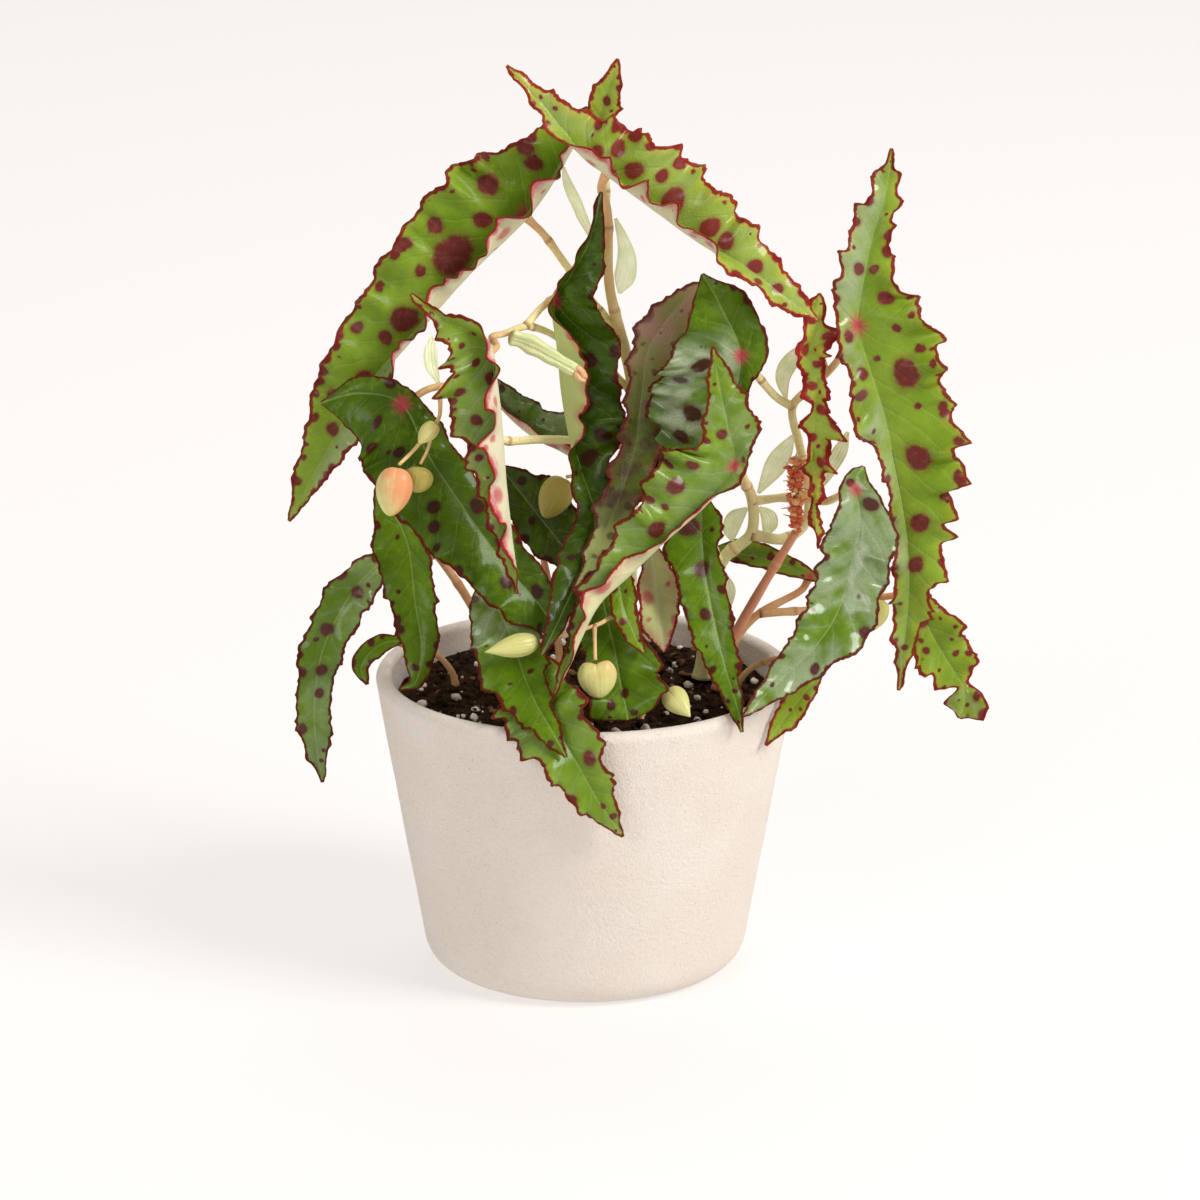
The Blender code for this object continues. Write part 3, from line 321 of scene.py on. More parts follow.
# Canes: lists of shoots. A shoot is its points, its radius at each end, and the leaf that it carries
# with the place along that leaf's midrib.
CANES = {
    "cane_centre": [
        ([(13, 9, 87.9), (14, 9, 130), (15, 9, 167), (14.5, 9, 182), (12, 8, 195), (7.5, 6, 214.5),
          (7, 4, 237)], 2.8, 1.4, "leaf_arch_top", 3.0),
        ([(11, 7.5, 199), (1.5, 8.5, 210), (-5.5, 9, 220), (-12, 8.5, 229.5)], 1.3, 1.3,
         "leaf_arch_left", 2.1),
        ([(7, 5, 234), (6.5, 8, 248), (4.5, 11, 258)], 1.0, 0.9, "leaf_top_small", 0.9),
        ([(14.5, 9, 180), (5, 10, 189.5), (-5, 6.5, 196), (-12, 0, 202), (-18, -6, 205), (-24, -12, 204.5),
          (-28, -22, 206)], 1.3, 1.1, "leaf_left_fold", 2.2),
        ([(-18, -6, 205), (-14, -2, 209), (-11.5, 1, 210.5)], 1.2, 1.2, "leaf_centre_fold", 3.0),
        ([(14.5, 9, 178), (19, 9, 190), (26, 6, 203)], 1.4, 1.2, "leaf_centre_behind", 1.2),
        ([(15, 9, 163), (-2, 3, 166.5), (-14, -1, 168), (-26, -8, 170), (-35, -13, 179), (-40, -15, 188),
          (-47, -17, 188.5)], 1.5, 1.2, "leaf_left_dark", 2.0),
        ([(-26, -8, 170), (-27, 4, 170.5), (-26.5, 12, 170.5)], 1.0, 1.0, "leaf_edge_on", 0.9),
        ([(14.5, 9, 150), (4, 12, 153.5), (-5.9, 12.9, 152)], 0.8, 0.6, None, 0),
        ([(14, 9, 132), (12, -6, 136), (11, -20, 135)], 1.1, 0.9, "leaf_front_narrow", 0.6),
        ([(14, 9, 127), (17, 3, 130), (20, -3, 132)], 1.1, 0.9, "leaf_pale_under", 0.8),
        ([(-42, -15.5, 188.5), (-43.5, -22, 190), (-43.5, -31, 184.5), (-45.5, -33, 181), (-51, -36, 175),
          (-55.5, -41.5, 171.8)], 0.8, 0.6, None, 0),
        ([(-45.5, -33, 181), (-47, -35, 175), (-49.3, -37.5, 170.8)], 0.6, 0.5, None, 0),
        ([(14, 9, 123), (13.5, -8, 126), (13.5, -22, 125), (14, -33, 122.5), (8, -36, 122), (3, -41, 121),
          (-8, -44.5, 118.8), (-13.5, -47.5, 118.2)], 1.0, 0.6, None, 0),
        ([(3, -41, 121), (3, -46, 119), (3.2, -50.5, 113.2)], 0.7, 0.6, None, 0),
    ],
    "cane_right": [
        ([(36, 10, 87.9), (38, 10, 105), (42, 9, 125.5), (51, 8, 135), (51.5, 7, 146), (49, 0, 154),
          (47.5, -14, 161)], 2.6, 1.3, "leaf_front_cross", 3.0),
        ([(51, 8, 135), (61.5, 10, 133), (68.5, 12, 138.5), (68.5, 11, 152), (65.5, 8, 165), (63.5, 4, 177),
          (70, 3, 184), (77, 1, 192.5)], 1.9, 1.1, "leaf_right_tall", 4.0),
        ([(63.5, 4, 177), (58, 2, 181), (51, -4, 191)], 1.4, 1.2, "leaf_centre_gloss", 2.1),
        ([(51.5, 7, 146), (61.5, 7.5, 147), (67, 6.5, 146.8), (74, 1, 147.7), (79, -8, 153)], 1.5, 1.2,
         "leaf_right_gloss", 1.2),
        ([(74, 2.5, 188), (72, 1.5, 194)], 0.9, 0.8, "leaf_crinkled", 2.0),
        ([(42, 9, 125.5), (38.5, -2, 136)], 1.2, 1.1, "leaf_right_hanging", 1.6),
    ],
    "petiole_left": [
        ([(-27, 4, 87.9), (-29, 3, 98), (-35, 0, 114.5), (-45.5, -4, 132), (-54, -6, 140)], 1.7, 1.2,
         "leaf_left_hanging", 1.5),
        ([(-45.5, -4, 132), (-51, 6, 127), (-57, 12.5, 124)], 1.1, 1.0, "leaf_far_left", 0.7),
    ],
    "petiole_rim_curl": [
        ([(-40, 2, 87.9), (-41.5, 1.5, 93), (-46, 0.5, 98.5), (-52, -1, 100.5)], 1.1, 0.9,
         "leaf_rim_curl", 0.4),
    ],
    "petiole_front_left": [
        ([(-20, -10, 87.9), (-21.5, -13.5, 103), (-25, -22.5, 115)], 1.4, 1.1, "leaf_front_left", 0.9),
    ],
    "petiole_front_rim": [
        ([(-8, -14, 87.9), (-8.5, -15.5, 93), (-10, -21, 99), (-14, -32, 106)], 1.4, 1.1,
         "leaf_front_rim", 0.5),
    ],
    "petiole_front_middle": [
        ([(3, -8, 87.9), (4, -12, 105), (6, -20, 120)], 1.4, 1.1, "leaf_front_middle", 0.9),
    ],
    "petiole_back": [
        ([(-8, 18, 87.9), (-8.5, 20, 97), (-11, 25, 112), (-15, 28.5, 130)], 1.3, 1.1,
         "leaf_back_dark", 1.5),
    ],
    "petiole_right_tip": [
        ([(46, -6, 87.9), (47, -6.5, 91.5), (52, -10, 98), (61, -15, 102.5), (69, -20, 103)], 1.1, 0.9,
         "leaf_right_tip", 0.4),
    ],
    "petiole_back_level": [
        ([(43, 3, 87.9), (44, 4, 96), (47.5, 5, 103.5), (54, 8, 109.5), (66, 12, 115)], 1.6, 1.2,
         "leaf_back_level", 3.3),
        ([(54, 8, 109.5), (72, 10.5, 110), (88, 11, 113), (97, 9, 115)], 1.4, 1.1, "leaf_far_right", 0.7),
        ([(87, 11, 113), (89.5, 8, 115), (90.8, 5.3, 116)], 0.8, 0.6, None, 0),
    ],
    "stalk_front_rim": [
        ([(17, -32, 87.9), (18, -34, 94), (22, -40, 100), (24.6, -45, 102.6)], 0.9, 0.7, None, 0),
    ],
    "flower_stalk": [
        ([(41, -2, 87.9), (43, -1, 98), (47, 0, 106.5), (55.5, 2, 121.5), (64.8, 1.8, 137.6)], 2.0, 1.4,
         None, 0),
    ],
}

# Buds: stalk end, tip, width, depth, heart notch, how pointed, then blush and green from 0 to 1
BUDS = {
    "bud_left_pink": ((-56, -42.5, 171), (-58.5, -44, 156.5), 9.6, 6.5, 0.04, 0.3, 0.8, 0.0),
    "bud_left_olive": ((-49.4, -38, 170), (-50.5, -38, 162), 7.6, 4.5, 0.03, 0.1, 0.2, 0.95),
    "bud_left_small": ((-44.9, -34.3, 182.3), (-49.5, -41.5, 178.5), 4.8, 3.5, 0.1, 0.4, 0.35, 0.35),
    "bud_front_pointed": ((-14.1, -47.9, 118.2), (-30, -53, 116.5), 6.6, 5, 0.03, 0.85, 0.05, 0.1),
    "bud_front_heart": ((3.4, -51, 112), (4.5, -53, 102), 10.2, 4.6, 0.2, 0.2, 0.36, 0.15),
    "bud_front_rim": ((24.9, -45.8, 102.2), (31.8, -53, 96), 7.2, 4.2, 0.05, 0.8, 0.0, 0.1),
    "bud_back_olive": ((-6.5, 13, 151.5), (-12.5, 12.5, 139), 9, 6, 0.05, 0.3, 0.0, 1.0),
    "bud_right_lime": ((91, 4, 115), (86, 4, 104), 8, 4, 0.1, 0.5, 0.0, 0.35),
}

# The capsule's axis from its curled end to its foot, and the radius there
CAPSULE = [(-3, -15, 194), (-9.5, -15, 198), (-16.5, -15, 202.3), (-22.8, -15, 204.8)]
CAPSULE_RADII = (1.8, 2.1, 2.6, 1.7)


# Meshes -------------------------------------------------------------------------------------------

def unit(vectors):
    return vectors / np.maximum(np.linalg.norm(vectors, axis=-1, keepdims=True), 1e-9)


def smoothstep(low, high, values):
    share = np.clip((values - low) / (high - low), 0.0, 1.0)
    return share * share * (3 - 2 * share)


def spline(rows, places):
    """Catmull-Rom through rows of equal length; places are counted in rows from 0."""
    rows = np.asarray(rows, float)
    rows = np.vstack([2 * rows[0] - rows[1], rows, 2 * rows[-1] - rows[-2]])
    last = len(rows) - 3
    places = np.clip(places, 0, last)
    index = np.minimum(places.astype(int), last - 1)
    t = (places - index)[:, None]
    a, b, c, d = (rows[index + step] for step in range(4))
    return 0.5 * (2 * b + (c - a) * t + (2 * a - 5 * b + 4 * c - d) * t ** 2
                  + (3 * b - a - 3 * c + d) * t ** 3)


def even_places(rows, step):
    """Places along rows that lie about a step apart, and their distances from the start."""
    fine = np.linspace(0, len(rows) - 1, 40 * len(rows))
    points = spline(rows, fine)[:, :3]
    runs = np.concatenate([[0], np.cumsum(np.linalg.norm(np.diff(points, axis=0), axis=1))])
    distances = np.linspace(0, runs[-1], max(int(runs[-1] / step), 8) + 1)
    return np.interp(distances, runs, fine), distances


def grid_quads(lines, columns, start=0, closed=False):
    """Corner indices of a grid of quads; closed joins the last column to the first."""
    row = np.arange(lines - 1)[:, None]
    column = np.arange(columns if closed else columns - 1)[None, :]
    after = (column + 1) % columns
    corners = np.broadcast_arrays(row * columns + column, row * columns + after,
                                  (row + 1) * columns + after, (row + 1) * columns + column)
    return np.stack(corners, -1).reshape(-1, 4) + start


def band_uv(lines, columns, low, high, closed=False):
    """Corner coordinates of a grid of quads in the atlas between two corners."""
    across = columns if closed else columns - 1
    row, column = np.divmod(np.arange((lines - 1) * across), across)
    u = np.stack([row, row, row + 1, row + 1], -1) / (lines - 1)
    v = np.stack([column, column + 1, column + 1, column], -1) / across
    return np.stack([low[0] + (high[0] - low[0]) * u, low[1] + (high[1] - low[1]) * v], -1)


def cap_uv(sides, u, v):
    """A small round patch of the atlas for the end of a stack of rings."""
    turns = np.linspace(0, 2 * math.pi, sides, endpoint=False)
    return np.stack([u + 0.008 * np.cos(turns), v + 0.006 + 0.005 * np.sin(turns)], -1)


def add_piece(name, points, faces, materials, nodes, maps, choice=None):
    """One piece from points in millimetres. Maps are one pair a point, or one pair a face corner."""
    mesh = bpy.data.meshes.new(name)
    mesh.from_pydata((np.asarray(points, float) * MM).tolist(), [], [list(face) for face in faces])
    corners = np.zeros(len(mesh.loops), int)
    mesh.loops.foreach_get("vertex_index", corners)
    for label, pairs in maps.items():
        pairs = np.asarray(pairs, float)
        if len(pairs) != len(corners):
            pairs = pairs[corners]
        mesh.uv_layers.new(name=label).data.foreach_set("uv", pairs.ravel())
    for item in materials:
        mesh.materials.append(item)
    if choice is not None:
        mesh.polygons.foreach_set("material_index", np.asarray(choice, int))
    mesh.shade_smooth()
    mesh.update()
    piece = bpy.data.objects.new(name, mesh)
    bpy.context.scene.collection.objects.link(piece)
    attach(piece, BODY)
    if nodes:
        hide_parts(*nodes)
    return piece


class Pile:
    """Stacks of closed rings, each capped at both ends, gathered into one piece."""

    def __init__(self):
        self.points, self.faces, self.atlas, self.tone = [], [], [], []
        self.count = 0

    def add(self, stack, band, caps, tone=None, flip=False):
        """Adds points shaped (rings, sides, 3), with their places in the atlas: the band's two corners
        and the two caps. Tone is a pair of arrays or numbers; flip turns the faces over."""
        lines, sides = stack.shape[:2]
        last = self.count + (lines - 1) * sides
        faces = grid_quads(lines, sides, self.count, closed=True).tolist()
        faces += [list(range(self.count, self.count + sides))[::-1], list(range(last, last + sides))]
        corners = band_uv(lines, sides, *band, closed=True)
        if flip:
            faces = [face[::-1] for face in faces]
            corners = corners[:, ::-1]
        self.faces += faces
        self.atlas += [corners.reshape(-1, 2), *(cap_uv(sides, *cap) for cap in caps)]
        self.points.append(stack.reshape(-1, 3))
        if tone is not None:
            self.tone.append(np.stack([np.broadcast_to(value, (lines, sides)).ravel() for value in tone], -1))
        self.count += lines * sides

    def piece(self, name, material, slot, **maps):
        """The piece that stands for the node of this name."""
        atlas = {"OFBake": np.concatenate(self.atlas)}
        if self.tone:
            atlas["tone"] = np.concatenate(self.tone)
        return add_piece(name + "_fine", np.concatenate(self.points), self.faces, [material], [name],
                         {**atlas, **maps})


# Shaders ------------------------------------------------------------------------------------------

class Value:
    """A shader socket. Arithmetic on it adds Math nodes."""

    def __init__(self, graph, socket):
        self.graph, self.socket = graph, socket

    def __add__(self, other):
        return self.graph.math("ADD", self, other)

    def __sub__(self, other):
        return self.graph.math("SUBTRACT", self, other)

    def __rsub__(self, other):
        return self.graph.math("SUBTRACT", other, self)

    def __mul__(self, other):
        return self.graph.math("MULTIPLY", self, other)

    def __truediv__(self, other):
        return self.graph.math("DIVIDE", self, other)

    def beside(self, output):
        """Another output of the same node."""
        return Value(self.graph, self.socket.node.outputs[output])

    __radd__ = __add__
    __rmul__ = __mul__


class Graph:
    """A material with one Principled shader, and methods that add its nodes."""

    def __init__(self, name, roughness, **constants):
        self.material = bpy.data.materials.new(name)
        self.material.use_nodes = True
        self.tree = self.material.node_tree
        self.shader = self.tree.nodes["Principled BSDF"]
        self.shader.inputs["Roughness"].default_value = roughness
        for label, value in constants.items():
            self.shader.inputs[label.replace("_", " ")].default_value = value
        # Position on the object, in millimetres
        self.place = self.node("VectorMath", {"operation": "SCALE"},
                               {0: self.node("TexCoord", output=3), "Scale": 1 / MM})

    def feed(self, socket, value):
        if isinstance(value, Value):
            self.tree.links.new(value.socket, socket)
        else:
            socket.default_value = value if isinstance(value, (int, float)) else tuple(value)

    def node(self, kind, settings=None, inputs=None, output=0):
        """Adds a node: its settings first, then the values or links of its sockets."""
        node = self.tree.nodes.new("ShaderNode" + kind)
        for label, value in (settings or {}).items():
            setattr(node, label, value)
        for label, value in (inputs or {}).items():
            self.feed(node.inputs[label], value)
        return Value(self, node.outputs[output])

    def math(self, operation, *values):
        return self.node("Math", {"operation": operation}, dict(enumerate(values)))

    def step(self, value, low, high):
        """0 below low, 1 above high, smooth between; low above high turns it round."""
        return self.node("MapRange", {"interpolation_type": "SMOOTHSTEP"},
                         {"Value": value, "From Min": low, "From Max": high})

    def mix(self, share, first, second):
        return self.node("Mix", {"data_type": "RGBA"}, {0: share, 6: first, 7: second}, output=2)

    def pair(self, layer):
        """The two numbers of a map."""
        first = self.node("SeparateXYZ", {}, {0: self.node("UVMap", {"uv_map": layer})})
        return first, first.beside(1)

    def noise(self, scale, detail, roughness=0.5):
        """Noise with about 1 / scale millimetres from lump to lump, centred on 0.5."""
        return self.node("TexNoise", {}, {"Vector": self.place, "Scale": scale,
                                          "Detail": detail, "Roughness": roughness})

    def cells(self, scale):
        """Distance from the nearest of the points strewn about 1 / scale millimetres apart."""
        return self.node("TexVoronoi", {"feature": "F1"}, {"Vector": self.place, "Scale": scale})

    def bump(self, height, distance):
        """Feeds a height from 0 to 1 to the shader's normal; distance is in millimetres."""
        bump = self.node("Bump", {}, {"Height": height, "Distance": distance * MM, "Strength": 1.0})
        self.feed(self.shader.inputs["Normal"], bump)

    def finish(self, colour, roughness=None):
        self.feed(self.shader.inputs["Base Color"], colour)
        if roughness is not None:
            self.feed(self.shader.inputs["Roughness"], roughness)
        return self.material


# Leaves -------------------------------------------------------------------------------------------

def full_rows(rows):
    """The end rows are bare points: they take a tip's width and their neighbour's lifts."""
    first, last = rows[1], rows[-2]
    return [(*rows[0], TIP_WIDTH, first[4], TIP_WIDTH, first[6]), *rows[1:-1],
            (*rows[-1], TIP_WIDTH, last[4], TIP_WIDTH, last[6])]


def blade_frames(rows, places):
    """Rows at places, the direction to the first side and the direction towards SHOW."""
    values = spline(rows, places)
    along = unit(spline(rows, places + 0.05)[:, :3] - spline(rows, places - 0.05)[:, :3])
    toward = unit(SHOW - (along @ SHOW)[:, None] * along)
    return values, np.cross(along, toward), toward


def evened(directions, spread):
    """Directions averaged with their neighbours, so that lines across a bent blade don't cross."""
    reach = np.arange(-int(2 * spread), int(2 * spread) + 1)
    weights = np.exp(-(reach / spread) ** 2)
    index = np.clip(np.arange(len(directions))[:, None] + reach, 0, len(directions) - 1)
    return unit((directions[index] * weights[None, :, None]).sum(axis=1))


def under_direction(rows, place):
    """A midrib point and the direction away from the blade's underside there."""
    values, side, toward = blade_frames(rows, np.array([float(place)]))
    up = np.zeros(3)
    for sign, lift in ((1, values[0, 4]), (-1, values[0, 6])):
        angle = math.radians(lift)
        up += math.cos(angle) * toward[0] - sign * math.sin(angle) * side[0]
    return values[0, :3], -unit(up)


def tooth_line(rng, distances, seat, spacing, point, power):
    """Heights of a row of teeth, about 1, that lean away from the seat.

    Point is the share of a tooth at which it peaks.
    """
    starts = np.cumsum(np.concatenate([[-spacing], rng.uniform(0.6, 1.45, 400) * spacing]))
    heights = rng.uniform(0.4, 1.3, len(starts))
    index = np.searchsorted(starts, distances, side="right") - 1
    share = (distances - starts[index]) / (starts[index + 1] - starts[index])
    share = np.where(distances < seat, 1 - share, share)
    rise = np.where(share < point, share / point, (1 - share) / (1 - point))
    return heights[index] * rise ** power


def margin_teeth(rng, leaf, distances, seat, width):
    """How far the margin's lobes, and the pointed teeth on them, stand out."""
    lobes = tooth_line(rng, distances, seat, LOBE_SPACING, 0.7, 1.5)
    blur = np.hanning(2 * int(leaf.rounding / ROW_STEP) + 3)[1:-1]
    lobes = np.convolve(np.pad(lobes, len(blur) // 2, mode="edge"), blur / blur.sum(), mode="valid")
    teeth = tooth_line(rng, distances, seat, TOOTH_SPACING, 0.72, 1.0)
    notches = tooth_line(rng, distances, seat, NOTCH_SPACING, 0.65, 1.1)
    slim = np.clip(width / 12, 0.4, 1.15)
    pointed = np.clip(width / 5, 0.6, 1) * (0.45 + 0.55 * lobes) * (0.95 * teeth + 0.6 * notches)
    return leaf.tooth * (1.9 * leaf.lobed * slim * lobes + pointed)


def wander(rng, distances, wavelength):
    """A smooth random line between -1 and 1."""
    knots = rng.uniform(-1, 1, int(distances[-1] / wavelength) + 6)
    return spline(knots[:, None], distances / wavelength + 1)[:, 0]


def half_blade(rng, leaf, values, side, toward, sign, distances, seat, look):
    """One half of a blade: its grid of points from the midrib out, their distance from the midrib
    and how far out on a tooth they lie."""
    width, lift = (values[:, 3], values[:, 4]) if sign > 0 else (values[:, 5], values[:, 6])
    ends = np.minimum(distances, distances[-1] - distances)
    calm = smoothstep(0, 2.5, ends) * (1.0 if leaf.blunt else 0.5 + 0.5 * smoothstep(2, 12, ends))
    slim = np.clip(width / 12, 0.45, 1.25)
    width = width * (1 + 0.07 * wander(rng, distances, 13))
    teeth = margin_teeth(rng, leaf, distances, seat, width) * calm * look.tooth_scale
    margin = np.maximum(width - 0.85 * leaf.tooth * leaf.lobed * slim * calm * look.tooth_scale, 0.25)
    share = np.array(COLUMNS)[None, :]
    run = margin[:, None] * share + teeth[:, None] * share ** 5

    # Across the blade: from a round crease at the midrib to the half's full lift
    tilt = np.radians(lift)[:, None]
    middle = (run[:, 1:] + run[:, :-1]) / 2
    angle = tilt * (1 - np.exp(-middle / FOLD_RADIUS))
    step, start = np.diff(run, axis=1), np.zeros((len(run), 1))
    out = np.concatenate([start, np.cumsum(step * np.cos(angle), 1)], 1)
    up = np.concatenate([start, np.cumsum(step * np.sin(angle), 1)], 1)

    # Off that surface: bulge, ruffled margin and swellings between the veins
    phase = distances / RUFFLE_LENGTH + 0.6 * wander(rng, distances, 24)
    ripple = 2 * math.pi * distances / RIPPLE_LENGTH + 4 * wander(rng, distances, 12)
    wave = np.sin(2 * math.pi * phase) + 0.3 * np.sin(ripple)
    ruffle = (1.4 * leaf.ruffle * look.ruffle_scale * slim * calm * wave)[:, None] * share ** 2.2
    vein = np.abs(distances - seat)[:, None] - VEIN_SLANT * run
    swelling = 0.2 * slim[:, None] * np.abs(np.sin(math.pi * vein / look.vein_spacing))
    swelling = swelling * (share * (1.15 - share)) ** 0.6
    lift_off = margin[:, None] * BLADE_BULGE * share * (1 - share) + ruffle + swelling
    out += -np.sin(tilt) * lift_off
    up += np.cos(tilt) * lift_off
    lean = 0.4 * np.clip((distances - seat) / 6, -1, 1) * teeth
    along = np.cross(toward, side)
    points = (values[:, None, :3] + sign * out[..., None] * side[:, None] + up[..., None] * toward[:, None]
              + (lean[:, None] * share ** 5)[..., None] * along[:, None])
    return points, run, np.clip(teeth, 0, 1.2)[:, None] * share ** 3


def joined(first, second, sign=1):
    """The grids of both halves side by side, with the midrib's line once."""
    return np.concatenate([sign * first[:, :0:-1], second], 1)


def grid_normals(points):
    along = np.gradient(points, axis=0)
    across = np.gradient(points, axis=1)
    return unit(np.cross(along, across))


def scatter_spots(rng, leaf, distances, places, run_first, run_second):
    """Spots as (distance, signed run across, radius): the leaf's own, then marks and freckles between."""
    def position(place, share):
        line = int(np.argmin(np.abs(places - place)))
        reach = run_first[line, -1] if share < 0 else run_second[line, -1]
        return distances[line], share * reach, reach

    spots = []
    for place, share, radius in leaf.spots:
        s, t, _ = position(place, share)
        spots.append((s, t, radius))
    marks = int(leaf.marks * distances[-1] / 5)
    for index in range(leaf.freckles * 6 + marks):
        place, share = rng.uniform(0.3, places[-1] - 0.2), rng.uniform(-1, 1)
        at_margin = index < marks
        share = math.copysign(rng.uniform(0.84, 0.99) if at_margin else abs(share) ** 0.6 * 0.9, share)
        s, t, reach = position(place, share)
        if at_margin:
            radius = rng.uniform(0.6, 1.9)
        else:
            radius = rng.choice([0.6, 0.8, 1.2, 1.9]) * rng.uniform(0.8, 1.3)
        radius = min(radius, reach * 0.32)
        if at_margin or all(math.hypot(s - a, t - b) > radius + r + 1.0 for a, b, r in spots):
            spots.append((s, t, radius))
        if len(spots) >= leaf.freckles + marks + len(leaf.spots):
            break
    return np.array(spots).reshape(-1, 3)


def spot_field(rng, spots, distances, run):
    """Distance of each point from the nearest spot, 1 being that spot's uneven edge."""
    field = np.full(run.shape, FAR_FROM_SPOTS)
    for spot_s, spot_t, radius in spots:
        angle = rng.uniform(0, math.pi)
        x, y = distances - spot_s, run - spot_t
        turn = np.arctan2(y, x) + angle
        uneven = 1 + 0.1 * np.sin(2 * turn) + 0.04 * np.sin(3 * turn + 2)
        field = np.minimum(field, np.hypot(x, y) / (radius * uneven))
    return field


def sheen_map(leaf, places, run):
    """Strength of the painted sheen, and of the glossy coat, at each point."""
    sheen = leaf.sheen * (smoothstep(-3, 4, run * leaf.sheen_side) if leaf.sheen_side else np.ones(run.shape))
    if leaf.sheen_span:
        first, last = leaf.sheen_span
        sheen = sheen * (smoothstep(first - 0.6, first + 0.4, places)
                         * smoothstep(last + 0.6, last - 0.4, places))[:, None]
    return sheen


def shell_faces(lines, columns):
    """Faces of a blade's upper grid, lower grid and the rim between them, with atlas and material."""
    count = lines * columns
    quads = grid_quads(lines, columns)
    ring = np.concatenate([np.arange(columns), np.arange(2, lines) * columns - 1,
                           np.arange(count - 1, count - columns - 1, -1),
                           np.arange(lines - 2, 0, -1) * columns])
    turned = np.roll(ring, -1)
    rim = np.stack([ring, turned, turned + count, ring + count], -1)
    faces = np.concatenate([quads[:, ::-1], quads + count, rim])
    atlas = np.concatenate([band_uv(lines, columns, (0.005, 0.03), (0.995, 0.505))[:, ::-1],
                            band_uv(lines, columns, (0.005, 0.515), (0.995, 0.99)), rim_uv(len(ring))])
    choice = np.concatenate([np.zeros(len(quads)), np.ones(len(quads)), np.zeros(len(rim))])
    return faces, atlas.reshape(-1, 2), choice


def blade(name, leaf, materials, look, thickness):
    """A fine blade with thickness, teeth, ruffles and maps that its materials read."""
    rng = np.random.default_rng(sum(ord(letter) * (index + 3) for index, letter in enumerate(name)))
    rows = full_rows(leaf.rows)
    places, distances = even_places(rows, ROW_STEP)
    seat = float(np.interp(leaf.seat, places, distances))
    values, side, toward = blade_frames(rows, places)
    spread = max(6.0, 0.5 * values[:, (3, 5)].max()) / ROW_STEP
    side, toward = evened(side, spread), evened(toward, spread)
    (first, run_first, tips_first), (second, run_second, tips_second) = (
        half_blade(rng, leaf, values, side, toward, sign, distances, seat, look) for sign in (1, -1))
    grid, run = joined(first, second), joined(run_first, run_second, -1)
    edge = joined(run_first[:, -1:] - run_first, run_second[:, -1:] - run_second)
    tips = joined(tips_first, tips_second)

    normals = grid_normals(grid)
    half = thickness / 2 * (0.35 + 0.65 * smoothstep(0, 3, edge))
    ends = np.minimum(distances, distances[-1] - distances)
    rib = np.exp(-(run / 0.9) ** 2) * smoothstep(0, 12, ends)[:, None]
    top = grid + normals * (half - 0.12 * rib)[..., None]
    bottom = grid - normals * (half + 0.55 * rib)[..., None]
    points = np.concatenate([top.reshape(-1, 3), bottom.reshape(-1, 3)])

    def twice(first_map, second_map):
        """One pair for each point of the upper grid, then of the lower."""
        pairs = np.stack([np.broadcast_to(first_map, run.shape).ravel(),
                          np.broadcast_to(second_map, run.shape).ravel()], -1)
        return np.concatenate([pairs, pairs])

    along = distances[:, None]
    spots = scatter_spots(rng, leaf, distances, places, run_first, run_second)
    star = max(leaf.star, 0.01)
    faces, atlas, choice = shell_faces(*run.shape)
    maps = {"OFBake": atlas, "blade": twice(np.abs(along - seat), run),
            "spots": twice(edge - 0.55 * tips, spot_field(rng, spots, along, run)),
            "tone": twice(leaf.lime, sheen_map(leaf, places, run)),
            "star": twice((along - seat) / star, run / star),
            "under": twice(leaf.under_green, leaf.under_blush)}
    return add_piece(name + "_fine", points, faces, materials, [name], maps, choice)


def rim_uv(count):
    """Corner coordinates of the strip of faces round a blade's margin."""
    start = np.arange(count) / count
    end = start + 1 / count
    low, high = np.full(count, 0.004), np.full(count, 0.02)
    return np.stack([np.stack([start, end, end, start], -1), np.stack([low, low, high, high], -1)], -1)


def side_veins(graph, look, run, side, *drifts):
    """1 on a side vein and 0 half way to the next; drifts bend them a little."""
    place = run - side * VEIN_SLANT
    for drift in drifts:
        place = place + drift
    share = graph.math("FRACT", place / look.vein_spacing)
    return graph.math("ABSOLUTE", share - 0.5) * 2


